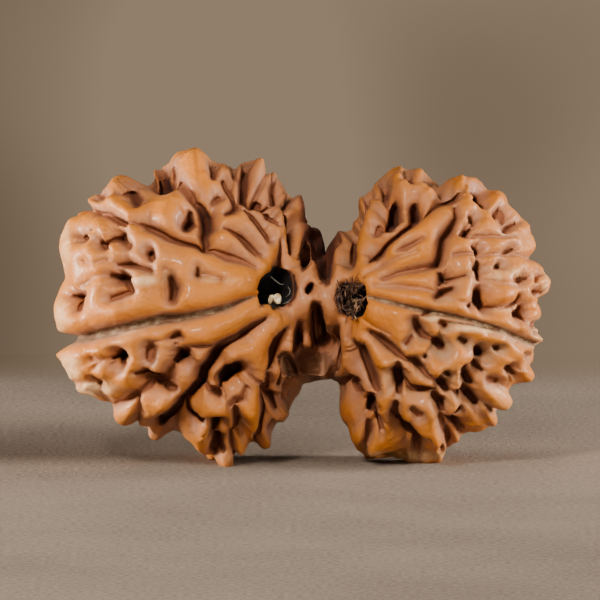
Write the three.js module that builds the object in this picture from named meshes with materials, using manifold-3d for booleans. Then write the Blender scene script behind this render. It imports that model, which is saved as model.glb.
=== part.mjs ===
// A joined rudraksha seed: two ribbed and pitted woody stones that grew together
// side by side, each with a natural stringing canal through its poles.
// Millimetres, +Z up, +X along the pair, standing on the flat spots of its lowest knobs.
import * as THREE from 'three';
import { mergeVertices } from 'three/addons/utils/BufferGeometryUtils.js';
import { SimplifyModifier } from 'three/addons/modifiers/SimplifyModifier.js';
import Module from 'manifold-3d';

// Driving dimensions.
const OVERALL_LENGTH = 39.2;
const LEFT_MIDDLE_RADIUS = 12.8;
const LEFT_POLE_RADIUS = 10.2;
const RIGHT_MIDDLE_RADIUS = 11.8;
const RIGHT_POLE_RADIUS = 9.6;
const CANAL_RADIUS = 0.85;

// How finely the solids are drawn, and where the random draws start.
const TRIANGLE_BUDGET = 11400;
const SPHERE_DETAIL = 74;
const LENS_DETAIL = 14;
const CANAL_SIDES = 10;
const RING_STEPS = 720;
const SLOW_HALF_SPAN = 14;
const WELD = 1e-3;
const LEFT_DRAWS_FROM = 4021;
const RIGHT_DRAWS_FROM = 9177;

// Each kind of groove: its depth for its half width, its deepest in millimetres, and how
// strongly the ridges beside it round off.
const KINDS = {
  seam: { steepness: 2.6, deepest: 2.8, rounding: 0.7 },
  deep: { steepness: 4, deepest: 2.8, rounding: 1 },
  medium: { steepness: 2.2, deepest: 2.8, rounding: 0.75 },
  shallow: { steepness: 1.1, deepest: 2.8, rounding: 0.45 },
  cleft: { steepness: 9, deepest: 5, rounding: 1 },
  mouth: { steepness: 2, deepest: 2.8, rounding: 0.4 },
};

// The rounding starts this much outside a groove's half width. The ridge drops by a fixed
// part and a part that grows with the half width, and so does the run of the rounding.
const GROOVE_SPREAD = 1.15;
const RIM_DROP = 0.45;
const RIM_DROP_BY_WIDTH = 2.8;
const RIM_RUN = 0.2;
const RIM_RUN_BY_WIDTH = 0.8;
const RIM_SINK = 0.75;
const TOP_SWELL = 0.4;
const TOP_SWELL_LOST_AT_RIM = 0.6;
const FARTHEST_EFFECT = 2.4;

// Sketched grooves reach farther along the line of sight, and are sunk along it where the
// stone faces the viewer at least this much, so that they stay open near the outline.
const SIGHT_SQUEEZE = 0.2;
const SIGHT_FACING = 0.2;

// Slow unevenness of the ridge tops, as waves in all directions.
const WAVE_COUNT = 18;
const WAVE_HEIGHT = 0.045;
const SHORTEST_WAVE = 2.2;
const LONGEST_WAVE = 6.2;

// Short grooves of the hidden side: where they may start, their length and half width.
const BACK_DRAWS = 900;
const BACK_LIMIT = 0.06;
const BACK_SPACING = 1;
const BACK_END_SPACING = 0.5;
const BACK_BEND = 50;
const BACK_LENGTH = [0.6, 3.8];
const BACK_HALF_WIDTH = [0.16, 0.38];
const BACK_STEP = 0.8;
const JOINT_SHARE = 0.86;

// The ridges were sketched on a square grid, looking along +Y and a little down.
// Sketch points are [column, row], rows counted downward, and the pair is 490 squares long.
const GRID = OVERALL_LENGTH / 490;
const SKETCH_MIDDLE = 302;
const SKETCH_GROUND = 462.4;
const SKETCH_TILT = 5.5;
const ACROSS = new THREE.Vector3(1, 0, 0);
const UPWARD = new THREE.Vector3(0, Math.sin(rad(SKETCH_TILT)), Math.cos(rad(SKETCH_TILT)));
const TO_VIEWER = new THREE.Vector3(0, -Math.cos(rad(SKETCH_TILT)), Math.sin(rad(SKETCH_TILT)));

// Outlines go round each stone. Grooves are lists of [column, row, half width].
const leftStone = {
  middleRadius: LEFT_MIDDLE_RADIUS,
  poleRadius: LEFT_POLE_RADIUS,
  centre: [201, 306.5],
  frontHole: [279, 289],
  mouth: [[278, 272, 6], [280, 285, 11], [279, 296, 10], [268, 307, 2]],
  outline: [
    [150, 158], [160, 153], [178, 149], [190, 147], [198, 146], [204, 151], [213, 156], [226, 164],
    [237, 166], [242, 159], [250, 156], [258, 155], [263, 159], [267, 177], [272, 170], [276, 169],
    [281, 175], [285, 186], [292, 197], [297, 192], [304, 191], [307, 200], [307, 216],
    [312, 220], [317, 226], [320, 235], [325, 243], [329, 262], [332, 280], [333, 300], [333, 325],
    [333, 350], [331, 379], [315, 381], [305, 386],
    [295, 400], [287, 414], [281, 422], [277, 432], [270, 446], [261, 450], [250, 441], [241, 454],
    [236, 454], [227, 466], [219, 461], [200, 448], [182, 433], [172, 434], [156, 446], [149, 443],
    [146, 437], [147, 431], [137, 425], [125, 424], [114, 408], [112, 400], [104, 400], [84, 391],
    [70, 376], [57, 360], [57, 353], [68, 345], [77, 338], [60, 331], [58, 320], [59, 302], [62, 292],
    [69, 279], [64, 264], [61, 249], [63, 238], [72, 220], [85, 214], [91, 209], [86, 200], [92, 193],
    [98, 185], [110, 183], [118, 175], [126, 174], [136, 178], [143, 181], [146, 172],
  ],
  seam: [
    [[252, 297, 1], [240, 301, 2], [225, 308, 3], [205, 313, 3.5], [185, 317, 4], [165, 319, 5],
      [150, 322, 4.5], [135, 325, 4.5], [118, 330, 5], [100, 334, 5], [85, 338, 4.5], [68, 341, 5]],
  ],
  deep: [
    [[126, 197, 2.5], [133, 193, 4.5], [136, 200, 4.5], [138, 207, 2.5]],
    [[88, 206, 1.2], [100, 213, 2], [113, 218, 2.8], [123, 223, 3], [129, 226, 2.2], [134, 226, 0.8],
      [144, 225.5, 1.8], [150, 228, 3], [160, 234, 3.2], [170, 240, 3.2], [182, 243, 3], [205, 249, 3]],
    [[85, 236, 2.5], [89, 238, 4], [92, 236, 2.5], [98, 234, 1]],
    [[106, 245, 3], [108, 247, 3.5], [113, 244, 2], [118, 240, 2.5], [123, 238, 4], [126, 236, 2.5]],
    [[153, 255, 3.5], [155, 260, 3]],
    [[120, 265, 1.5], [130, 264, 3.2], [136, 266, 3], [145, 269, 2.5], [154, 272, 2.5]],
    [[115, 276, 2.5], [122, 277, 5], [128, 280, 5], [131, 285, 3.5], [134, 291, 3]],
    [[173, 280, 3], [175, 290, 4.5], [174, 299, 3.5]],
    [[199, 271, 1.5], [199, 276, 2.5]],
    [[76, 296, 2], [82, 297, 4], [90, 294, 1.5]],
    [[82, 299, 3.5], [83, 309, 2.5]],
    [[115, 358, 3], [120, 358, 6], [123, 362, 4]],
    [[173, 337, 2], [179, 335, 3], [182, 336, 2]],
    [[177, 362, 4], [184, 356, 6.5], [187, 352, 4.5]],
    [[194, 345, 1.5], [203, 345, 2], [211, 345, 1.5]],
    [[262, 318, 1.5], [254, 325, 3], [245, 333, 4], [238, 337, 3.5], [230, 341, 4], [221, 348, 5],
      [217, 356, 6], [212, 364, 5.5], [205, 372, 6], [203, 385, 6], [193, 393, 5], [183, 400, 5],
      [178, 410, 5], [170, 420, 6], [160, 428, 6]],
    [[140, 370, 1.5], [148, 372, 4], [152, 377, 4.5]],
    [[164, 388, 2.5], [171, 388, 3.5], [177, 387, 2.5]],
    [[222, 387, 4], [227, 382, 8], [233, 377, 8.5], [239, 371, 7]],
    [[206, 389, 1.5], [214, 392, 4], [220, 394, 3.5]],
    [[236, 410, 3], [239, 420, 4], [238, 429, 3], [232, 433, 2], [231, 442, 2], [235, 450, 1.5]],
    [[212, 435, 2.5], [218, 424, 6]],
    [[214, 446, 4], [219, 444, 5.5], [223, 447, 3]],
    [[186, 402, 3], [190, 412, 4], [196, 417, 4.5], [203, 418, 3]],
    [[161, 166, 6.5], [161, 174, 9], [164, 180, 8]],
    [[173, 163, 2], [174, 170, 2]],
    [[211, 158, 2.5], [213, 168, 3.5], [213, 177, 3.5], [213, 183, 2]],
    [[223, 184, 2.5], [228, 191, 3.2], [235, 199, 4], [237, 206, 4], [232, 213, 3], [226, 217, 2]],
    [[196, 199, 3.5], [202, 207, 5], [207, 216, 6.5], [208, 226, 6], [205, 235, 4.5], [207, 243, 4],
      [205, 249, 3]],
    [[191, 213, 3], [190, 220, 5.5], [187, 225, 5]],
    [[245, 212, 2], [252, 220, 3.3], [260, 231, 3.7], [267, 241, 3]],
    [[224, 230, 1], [232, 233, 2.2], [241, 239, 3.2], [249, 247, 3.7], [256, 254, 3], [259, 258, 1.5]],
    [[247, 166, 4], [246, 180, 5], [246, 195, 5], [252, 205, 4], [262, 208, 3.5], [268, 207, 2]],
    [[258, 200, 4.5], [261, 203, 4]],
    [[262, 211, 2], [268, 219, 3.5], [275, 228, 2]],
    [[284, 213, 2.5], [288, 222, 3.7], [290, 234, 3.9], [290, 245, 3.5], [289, 254, 2]],
    [[277, 245, 1], [279, 256, 2.2], [280, 265, 3.2]],
    [[271, 178, 2], [273, 190, 3.5], [274, 203, 3]],
    [[291, 196, 2], [288, 203, 4.5], [285, 208, 3]],
    [[307, 293, 1.8], [310, 289, 2.5], [312, 285, 1.5]],
    [[292, 366, 1.5], [288, 380, 2.5], [284, 398, 2.5]],
    [[303, 366, 1.5], [298, 380, 2.5], [293, 396, 2]],
    [[300, 321, 1.5], [299, 330, 3.5], [298, 337, 3.5], [299, 353, 5]],
    [[282, 329, 2], [279, 340, 4], [276, 350, 4.5], [272, 361, 3.5], [267, 369, 2.5]],
    [[269, 375, 2], [270, 385, 3], [268, 395, 4], [274, 400, 5], [274, 406, 3]],
    [[281, 370, 1.5], [280, 385, 2.5]],
    [[262, 385, 2], [265, 400, 3], [264, 415, 4], [261, 430, 3.5], [255, 440, 2.5]],
  ],
  medium: [
    [[205, 249, 3], [215, 252, 3.5], [228, 257, 4.5], [240, 263, 3.5], [252, 270, 1.5]],
    [[101, 201, 3], [104, 197, 4.5]],
    [[140, 208, 2], [147, 205, 2]],
    [[126, 241, 3], [131, 247, 3]],
    [[132, 292, 2.5], [126, 296, 3.5], [118, 299, 3]],
    [[153, 348, 5], [153, 355, 4.5]],
    [[150, 379, 6], [160, 382, 7], [169, 378, 6], [172, 369, 4.5]],
    [[150, 386, 4], [143, 389, 3.5], [138, 393, 4], [130, 397, 3], [120, 400, 2]],
    [[231, 402, 3], [236, 401, 4], [243, 397, 3], [247, 388, 2]],
    [[214, 204, 3], [218, 201, 4]],
    [[180, 180, 4], [186, 189, 5], [193, 197, 5]],
    [[231, 171, 2], [235, 178, 3.5]],
    [[250, 375, 1.5], [259, 381, 2], [266, 375, 1.5]],
    [[270, 427, 4], [275, 424, 4], [277, 422, 2]],
    [[140, 396, 1.5], [142, 408, 2], [138, 422, 1.5]],
    [[98, 374, 1.5], [103, 380, 2.5]],
  ],
  shallow: [
    [[92, 264, 1.5], [97, 266, 1.5]],
    [[104, 266, 1.5], [112, 262, 2.5]],
    [[97, 357, 3.5], [106, 358, 3], [100, 364, 2.5]],
    [[178, 343, 3]],
    [[150, 341, 1.5], [170, 338, 1.5]],
    [[205, 276, 2], [220, 281, 2]],
    [[169, 272, 1.8]],
    [[70, 346, 2], [68, 360, 2], [75, 374, 2], [85, 378, 2], [95, 377, 2], [104, 380, 2],
      [109, 389, 2], [118, 396, 2]],
    [[112, 276, 1.5], [98, 282, 2], [88, 288, 1.5]],
  ],
  knobs: [
    [258, 160, 0.5], [276, 175, 0.4], [196, 452, 0.3], [193, 158, 0.5], [125, 182, 0.3],
  ],
  backTurn: 48,
};

const rightStone = {
  middleRadius: RIGHT_MIDDLE_RADIUS,
  poleRadius: RIGHT_POLE_RADIUS,
  centre: [410, 310.5],
  frontHole: [350, 298],
  mouth: [[341, 294, 5], [350, 298, 9], [355, 308, 6]],
  outline: [
    [316, 256], [313, 270], [311, 290], [310, 310], [311, 335], [317, 355], [324, 371], [331, 379],
    [337, 385], [338, 400], [342, 416], [347, 426], [351, 440], [356, 449], [363, 453], [370, 458],
    [378, 454], [386, 450], [405, 450], [411, 455], [418, 458], [426, 456], [432, 453], [440, 458],
    [448, 457], [453, 449], [461, 444], [467, 435], [476, 428], [486, 423], [494, 424], [498, 419],
    [496, 412], [504, 410], [511, 400], [505, 390], [509, 382], [520, 382], [529, 380], [531, 373],
    [529, 366], [535, 362], [536, 355], [535, 350], [542, 348], [546, 340], [544, 330], [541, 318],
    [538, 309], [532, 302], [538, 298], [546, 293], [548, 280], [543, 269], [538, 263], [530, 256],
    [536, 246], [533, 240], [527, 234], [528, 226], [520, 213], [510, 204], [502, 193], [490, 188],
    [485, 178], [478, 174], [463, 174], [454, 180], [440, 182], [437, 177], [428, 170], [422, 164],
    [400, 163], [390, 169], [378, 175], [372, 187], [358, 193], [358, 205], [359, 213], [352, 220],
    [351, 229], [344, 231], [337, 228], [331, 233], [325, 240], [320, 245],
  ],
  seam: [
    [[372, 298, 1.5], [395, 304, 2], [415, 309, 2.5], [440, 314, 2.5], [455, 317, 2.2], [470, 320.5, 2.2],
      [485, 325, 2.2], [500, 331, 2.5], [515, 337, 2.5], [530, 343, 2.5], [540, 347, 2.5]],
    [[447, 322, 1.2], [462, 323, 1.2], [478, 326, 1.4], [492, 330, 1.2]],
  ],
  deep: [
    [[384, 185, 4], [384, 194, 4.5], [385, 200, 2.5]],
    [[400, 177, 2], [407, 177, 4], [410, 183, 4], [411, 188, 2]],
    [[414, 187, 2], [421, 184, 3.5], [430, 186, 4], [434, 192, 4], [438, 198, 3]],
    [[393, 206, 6], [391, 216, 7], [388, 226, 5]],
    [[413, 206, 5], [415, 212, 6], [413, 221, 4], [409, 227, 3.5], [402, 233, 3], [394, 240, 3],
      [386, 247, 3], [380, 254, 3.5], [375, 260, 3], [372, 265, 1.5]],
    [[421, 218, 1.5], [430, 213, 2], [438, 208, 2.5], [446, 204, 3.5], [453, 201, 3.5], [457, 197, 2]],
    [[358, 233, 2], [354, 240, 3.5], [351, 250, 4.5], [350, 260, 4.5], [352, 268, 2.5]],
    [[369, 190, 2], [366, 200, 2.5], [365, 212, 2.5], [364, 224, 3], [361, 234, 2]],
    [[453, 212, 1.5], [454, 220, 2.5], [449, 229, 4], [442, 238, 4], [440, 248, 4], [438, 258, 4],
      [436, 263, 4], [428, 267, 2]],
    [[438, 275, 2.5], [441, 279, 4.5], [438, 284, 2.5]],
    [[444, 280, 2.5], [450, 280, 1.5], [460, 278, 1]],
    [[435, 297, 3], [440, 293, 4], [448, 290, 2.5]],
    [[421, 315, 1.5], [426, 313, 2.5]],
    [[439, 322, 2.5], [443, 325, 3]],
    [[414, 321, 3.5], [417, 328, 4.5], [421, 334, 4], [430, 338, 2.5], [436, 342, 5], [440, 346, 5]],
    [[372, 331, 2], [380, 337, 3.5], [389, 346, 4], [397, 353, 3.5], [404, 357, 2.5], [413, 359, 4],
      [419, 365, 4], [425, 371, 2.5], [432, 376, 2], [436, 378, 4], [441, 384, 5], [445, 389, 3]],
    [[357, 340, 1.5], [361, 348, 4], [365, 359, 4.5], [369, 370, 4.5], [373, 381, 4.5], [377, 389, 3]],
    [[339, 325, 2], [336, 338, 4.5], [336, 350, 4.5], [338, 362, 3], [339, 370, 1.5]],
    [[443, 370, 2.5], [446, 373, 3]],
    [[423, 354, 2]],
    [[397, 365, 3.5], [396, 373, 6], [398, 383, 6], [398, 391, 3]],
    [[405, 385, 2.5], [411, 389, 3.5], [419, 391, 4], [427, 390, 3.5], [433, 390, 2]],
    [[434, 397, 4], [439, 402, 5], [441, 410, 3.5]],
    [[453, 411, 2.5], [458, 408, 3]],
    [[440, 418, 3], [443, 428, 3.5], [448, 438, 3.5], [447, 448, 2]],
    [[449, 420, 4], [455, 425, 5], [461, 430, 3]],
    [[370, 397, 4], [368, 406, 6], [367, 414, 5], [374, 416, 4.5], [376, 424, 4.5], [380, 430, 2.5]],
    [[366, 426, 2.5], [368, 433, 3.5], [366, 440, 2]],
    [[357, 378, 1.5], [350, 377, 2.5], [343, 381, 3], [340, 392, 2.5], [339, 400, 1.5]],
    [[395, 403, 3], [393, 411, 4], [396, 420, 3.5], [402, 426, 4.5], [409, 432, 4.5], [416, 438, 4.5],
      [417, 447, 4]],
    [[420, 432, 1], [427, 432, 1.5]],
    [[471, 196, 3], [476, 192, 5], [477, 200, 4.5], [481, 206, 3.5]],
    [[466, 220, 1.5], [470, 222, 3], [471, 226, 1.5]],
    [[460, 236, 2.5], [465, 232, 3.5], [469, 230, 1.5]],
    [[495, 212, 1.5], [492, 216, 2.5], [491, 220, 1.5]],
    [[502, 232, 2.5], [506, 228, 3], [511, 226, 1.5]],
    [[471, 249, 2.5], [475, 250, 4]],
    [[499, 254, 1.2], [504, 252, 2.2], [508, 251, 1.5]],
    [[475, 263, 2.5], [475, 270, 4.5], [475, 277, 3]],
    [[491, 269, 1.5], [495, 267, 2.8]],
    [[509, 281, 1.5], [514, 281, 2.7], [520, 280, 1]],
    [[525, 293, 1.5], [530, 293, 3], [534, 294, 1.5]],
    [[529, 283, 1], [530, 278, 1.3], [534, 275, 1]],
    [[477, 293, 5], [477, 300, 5.5], [480, 306, 4.5]],
    [[482, 308, 2], [490, 307, 1.5], [500, 307, 1.5], [509, 303, 1.5], [512, 296, 1.2]],
    [[465, 306, 2]],
    [[514, 307, 2], [514, 314, 4], [519, 320, 1.5]],
    [[530, 324, 3], [535, 326, 3]],
    [[530, 332, 1.2], [536, 333, 1.5], [542, 332, 1.2]],
    [[458, 338, 2.5], [463, 341, 3]],
    [[490, 345, 2], [494, 347, 3]],
    [[477, 349, 4.5], [480, 354, 5.5]],
    [[472, 363, 2.5], [476, 366, 4], [480, 369, 2]],
    [[502, 366, 2.5], [506, 367, 4], [509, 371, 2]],
    [[463, 368, 3.5], [465, 376, 5], [469, 383, 4]],
    [[453, 390, 2], [458, 393, 3]],
    [[463, 389, 4], [469, 396, 5], [476, 403, 4]],
    [[515, 378, 1.2], [522, 378, 1.2]],
    [[485, 404, 1.5], [489, 407, 2], [495, 405, 1.5]],
    [[441, 446, 1.8]],
  ],
  medium: [
    [[380, 229, 4], [378, 236, 3.5]],
    [[421, 244, 1.2], [412, 248, 2.2], [404, 252, 2.6], [397, 256, 1.2]],
    [[410, 336, 3], [406, 341, 3]],
    [[354, 384, 6], [357, 392, 5.5]],
    [[496, 215, 3], [500, 222, 4]],
    [[520, 353, 2], [525, 356, 3]],
    [[487, 378, 4.5], [492, 379, 4]],
    [[412, 405, 3], [418, 411, 4]],
    [[462, 239, 1.2], [475, 237, 1.6], [495, 239, 1.6], [508, 240, 1.2]],
    [[450, 258, 1.4], [470, 256.5, 1.2], [490, 256, 1.2], [510, 257, 1.2], [525, 262, 1.5]],
    [[436, 264, 3], [424, 268, 2.8], [410, 271, 2.6], [396, 275, 2], [384, 281, 1.5]],
  ],
  shallow: [
    [[378, 288, 1.5], [400, 288, 2.5], [418, 290, 2.5], [430, 292, 2]],
    [[357, 422, 1.2], [362, 420, 1.2], [364, 425, 1.4]],
    [[464, 185, 1.5], [462, 195, 2.5]],
    [[506, 210, 2.5], [514, 217, 2.5]],
    [[480, 331, 1.2], [495, 335, 1.2], [510, 341, 1.4]],
    [[523, 262, 1.2], [529, 268, 1.2], [527, 274, 1.2]],
    [[353, 321, 1.5], [352, 335, 2.2]],
    [[366, 318, 1.2], [376, 325, 1.3], [390, 333, 1.2]],
    [[370, 278, 1.2], [384, 268, 1.8], [400, 261, 2], [415, 256, 1.5]],
    [[468, 281, 1.4], [482, 281, 1.4], [496, 285, 1.6], [512, 288, 1.4]],
    [[446, 301, 1.4], [455, 303, 1.4], [461, 304, 1.6]],
  ],
  knobs: [
    [494, 196, 0.5], [425, 195, 0.4], [397, 187, 0.4], [445, 219, 0.4], [531, 309, 0.5],
    [455, 352, 0.4], [433, 367, 0.4], [453, 380, 0.4], [433, 440, 0.4], [500, 296, 0.5],
    [461, 293, 0.3], [407, 170, 0.3],
  ],
  backTurn: -40,
};

// Rounded edges of the cleft, above and below the bridge that joins the stones.
const cleft = [
  [[335, 240, 3], [328, 256, 4], [325, 270, 4], [324, 281, 3]],
  [[318, 303, 1.5], [318, 315, 3.5], [319, 328, 4], [321, 345, 4]],
];

// The bridge, the grown web behind it and the gaps round them, as lumpy lenses that lie
// along the line of sight: [column, row, half width, half height, lean, mm in front of the
// middle, half depth in mm].
const bridge = [321, 293, 36, 34, 0, 4.0, 3.2];
const web = [324, 313, 19, 57, 0, -3, 4];
const gaps = [
  [326, 257, 7.5, 27, 2, 8, 9.5],
  [321, 235, 15.5, 15, 0, 6, 8.5],
  [305, 254, 4.5, 16, 3, 6, 7],
  [309, 289, 3, 6.5, 25, 8, 4],
  [318, 329, 6.5, 27, -4, 8, 8.5],
  [298, 336, 4, 16, 3, 8, 5.5],
  [337, 349, 3.5, 21, -3, 8, 6],
];

// Hollow under the ridge tips, which stops at the rough back wall of the joint.
const hollows = [
  [314, 363, 20, 16, 0, 9, 8],
  [290, 367, 8, 14, -25, 9, 8],
];

// Ragged holes that the canals open into, in the same terms.
const holes = [
  [280, 287, 15, 19.5, 0, 8, 4.5],
  [268, 296, 7.5, 8, 0, 8.5, 3.5],
  [277, 268, 5, 7, 0, 8, 3.5],
  [349, 299, 13, 15.5, 0, 8, 4.5],
  [355, 309, 6.5, 8.5, 0, 8.5, 3.5],
];
const LENS_LUMPS = 0.05;

// Flat spots of the lowest knobs, [x, y] on the ground.
const leftFeet = [[-6.2, -3.0], [-7.4, 3.8]];
const rightFeet = [[9.4, 0.2], [6.2, 4.2]];
const FOOT_REACH = 1.7;
const FOOT_PRESS = 0.45;
const KNOB_REACH = 1.1;
const BACK_MOUTH = 1.1;

function rad(degrees) {
  return THREE.MathUtils.degToRad(degrees);
}

// A direction given by how far it leads right, up and toward the viewer of the sketch.
function fromSketch(right, up, near) {
  return new THREE.Vector3()
    .addScaledVector(ACROSS, right)
    .addScaledVector(UPWARD, up)
    .addScaledVector(TO_VIEWER, near);
}

function squeezed(point) {
  const near = point.dot(TO_VIEWER);
  return point.clone().addScaledVector(TO_VIEWER, (SIGHT_SQUEEZE - 1) * near);
}

// The place of a sketch point on the upright plane through both stones.
function onMiddlePlane([column, row]) {
  const x = (column - SKETCH_MIDDLE) * GRID;
  const z = (SKETCH_GROUND - row) * GRID / Math.cos(rad(SKETCH_TILT));
  return new THREE.Vector3(x, 0, z);
}

// The same small random draw everywhere, so that the seed always grows alike.
function makeRandom(seed) {
  let state = seed;
  return () => {
    state = (state * 16807) % 2147483647;
    return state / 2147483647;
  };
}

// One stone: a flattened ball about its canal, with the sketched outline, ridges cut
// out by grooves, and a slow unevenness of its ridge tops.
class Stone {
  constructor(plan, side, seed) {
    this.plan = plan;
    this.side = side;
    this.centre = onMiddlePlane(plan.centre);
    this.axis = this.poleDirection();
    this.outlineRatios = this.measureOutline();
    this.slowRatios = smoothRing(this.outlineRatios, SLOW_HALF_SPAN);
    this.random = makeRandom(seed);
    this.waves = this.drawWaves();
    this.grooves = [];
    this.knobs = [];
  }

  // The canal leaves through the hole of the sketch, which fixes how far the axis leans.
  poleDirection() {
    const [right, up] = this.offset(this.plan.frontHole);
    const a = right / this.plan.poleRadius;
    const b = up / this.plan.poleRadius;
    return fromSketch(a, b, Math.sqrt(1 - a * a - b * b));
  }

  offset([column, row]) {
    return [(column - this.plan.centre[0]) * GRID, (this.plan.centre[1] - row) * GRID];
  }

  ballRadius(direction) {
    const along = direction.dot(this.axis);
    const poleShare = along * along / this.plan.poleRadius ** 2;
    const middleShare = (1 - along * along) / this.plan.middleRadius ** 2;
    return 1 / Math.sqrt(poleShare + middleShare);
  }

  // Sketched outline against the outline of the plain ball, in steps all the way round.
  measureOutline() {
    const lean = [this.axis.dot(ACROSS), this.axis.dot(UPWARD)];
    const leanLength = Math.hypot(lean[0], lean[1]);
    const { middleRadius, poleRadius } = this.plan;
    const flattening = (middleRadius ** 2 - poleRadius ** 2) * leanLength ** 2;
    const shortRadius = Math.sqrt(middleRadius ** 2 - flattening);
    const leanAngle = Math.atan2(lean[1], lean[0]);
    const corners = this.plan.outline.map((point) => {
      const [right, up] = this.offset(point);
      const angle = Math.atan2(up, right);
      const short = Math.cos(angle - leanAngle) / shortRadius;
      const long = Math.sin(angle - leanAngle) / middleRadius;
      const plain = 1 / Math.hypot(short, long);
      return { angle, ratio: Math.hypot(right, up) / plain };
    });
    corners.sort((a, b) => a.angle - b.angle);
    const first = corners[0];
    const last = corners[corners.length - 1];
    corners.push({ angle: first.angle + 2 * Math.PI, ratio: first.ratio });
    corners.unshift({ angle: last.angle - 2 * Math.PI, ratio: last.ratio });
    const ratios = [];
    let at = 0;
    for (let step = 0; step < RING_STEPS; step += 1) {
      const angle = -Math.PI + 2 * Math.PI * step / RING_STEPS;
      while (corners[at + 1].angle < angle) {
        at += 1;
      }
      const span = corners[at + 1].angle - corners[at].angle;
      const share = (angle - corners[at].angle) / Math.max(span, 1e-6);
      ratios.push(corners[at].ratio + share * (corners[at + 1].ratio - corners[at].ratio));
    }
    return smoothRing(ratios, 1);
  }

  // The outline counts fully at the rim and fades toward the front and the back.
  baseRadius(direction) {
    const right = direction.dot(ACROSS);
    const up = direction.dot(UPWARD);
    const rim = right * right + up * up;
    const place = (Math.atan2(up, right) + Math.PI) * RING_STEPS / (2 * Math.PI);
    const slow = ringValue(this.slowRatios, place);
    const sharp = ringValue(this.outlineRatios, place) - slow;
    return this.ballRadius(direction) * (1 + (slow - 1) * rim + sharp * rim ** 4);
  }

  // Where the line of sight through a sketch point meets the front of the stone, or what
  // lies a little below that front.
  directionAt(point, sink) {
    const [right, up] = this.offset(point);
    let near = 0.7 * this.plan.poleRadius;
    let direction = null;
    for (let step = 0; step < 24; step += 1) {
      direction = fromSketch(right, up, near).normalize();
      const left = (this.baseRadius(direction) - sink) ** 2 - right * right - up * up;
      near = 0.5 * (near + Math.sqrt(Math.max(left, 0.2)));
    }
    return direction;
  }

  drawWaves() {
    const waves = [];
    for (let index = 0; index < WAVE_COUNT; index += 1) {
      const height = 2 * this.random() - 1;
      const turn = 2 * Math.PI * this.random();
      const flat = Math.sqrt(1 - height * height);
      const length = SHORTEST_WAVE + (LONGEST_WAVE - SHORTEST_WAVE) * this.random();
      const pace = 2 * Math.PI / length;
      const direction = new THREE.Vector3(flat * Math.cos(turn), flat * Math.sin(turn), height);
      waves.push({ direction: direction.multiplyScalar(pace), phase: 2 * Math.PI * this.random() });
    }
    return waves;
  }

  unevenness(point) {
    let sum = 0;
    for (const wave of this.waves) {
      sum += Math.sin(wave.direction.dot(point) + wave.phase);
    }
    return WAVE_HEIGHT * sum;
  }

  surfacePoint(direction) {
    return direction.clone().multiplyScalar(this.baseRadius(direction));
  }

  // A groove is kept as points on the ball with half widths in millimetres.
  addGroove(directions, halfWidths, kind, sketched = false) {
    const points = directions.map((direction) => {
      const point = this.surfacePoint(direction);
      return sketched ? squeezed(point) : point;
    });
    const middle = new THREE.Vector3();
    points.forEach((point) => middle.add(point));
    middle.divideScalar(points.length);
    const reach = Math.max(...points.map((point) => point.distanceTo(middle))) + FARTHEST_EFFECT;
    this.grooves.push({ directions, points, halfWidths, kind, sketched, middle, reach });
  }

  sketchGroove(line, kind) {
    const directions = [];
    const halfWidths = [];
    line.forEach(([column, row, halfWidth], index) => {
      const before = line[Math.max(index - 1, 0)];
      const length = Math.hypot(column - before[0], row - before[1]);
      const pieces = Math.max(1, Math.ceil(length / 8));
      for (let piece = index === 0 ? pieces : 1; piece <= pieces; piece += 1) {
        const share = piece / pieces;
        const between = [
          before[0] + share * (column - before[0]),
          before[1] + share * (row - before[1]),
        ];
        directions.push(this.directionAt(between, RIM_SINK));
        halfWidths.push((before[2] + share * (halfWidth - before[2])) * GRID);
      }
    });
    this.addGroove(directions, halfWidths, kind, true);
  }

  carveFront() {
    const { plan } = this;
    for (const kind of ['seam', 'deep', 'medium', 'shallow']) {
      plan[kind].forEach((line) => this.sketchGroove(line, kind));
    }
    this.frontCount = this.grooves.length;
    cleft.forEach((line) => this.sketchGroove(line, 'cleft'));
    this.sketchGroove(plan.mouth, 'mouth');
    plan.knobs.forEach(([column, row, height]) => {
      this.addKnob(this.directionAt([column, row], 0), height, KNOB_REACH);
    });
  }

  addKnob(direction, height, reach) {
    this.knobs.push({ point: this.surfacePoint(direction), height, reach });
  }

  // Each knob that the stone stands on reaches just below the ground before it is cut flat.
  addFoot([x, y]) {
    const spot = new THREE.Vector3(x, y, -FOOT_PRESS).sub(this.centre);
    const direction = spot.clone().normalize();
    this.addKnob(direction, spot.length() - this.reliefAt(direction).radius, FOOT_REACH);
  }

  // The hidden side repeats its neighbour's ridges, mirrored front to back and turned
  // about the canal.
  carveBack(neighbour) {
    const backPole = this.axis.clone().negate();
    neighbour.grooves.slice(0, neighbour.frontCount).forEach((groove) => {
      const directions = groove.directions.map((direction) => {
        const near = direction.dot(TO_VIEWER);
        const mirrored = direction.clone().addScaledVector(TO_VIEWER, -2 * near);
        return mirrored.applyAxisAngle(backPole, rad(this.plan.backTurn));
      });
      if (directions.every((direction) => direction.dot(TO_VIEWER) < -0.12)) {
        this.addGroove(directions, groove.halfWidths, groove.kind);
      }
    });
    this.addGroove([backPole], [BACK_MOUTH], 'mouth');
  }

  clearance(direction) {
    const point = this.surfacePoint(direction);
    const flatPoint = squeezed(point);
    let nearest = Infinity;
    for (const groove of this.grooves) {
      const spot = groove.sketched ? flatPoint : point;
      if (groove.middle.distanceTo(spot) < groove.reach + 1) {
        nearest = Math.min(nearest, nearestStretch(groove, spot).outside);
      }
    }
    return nearest;
  }

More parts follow.
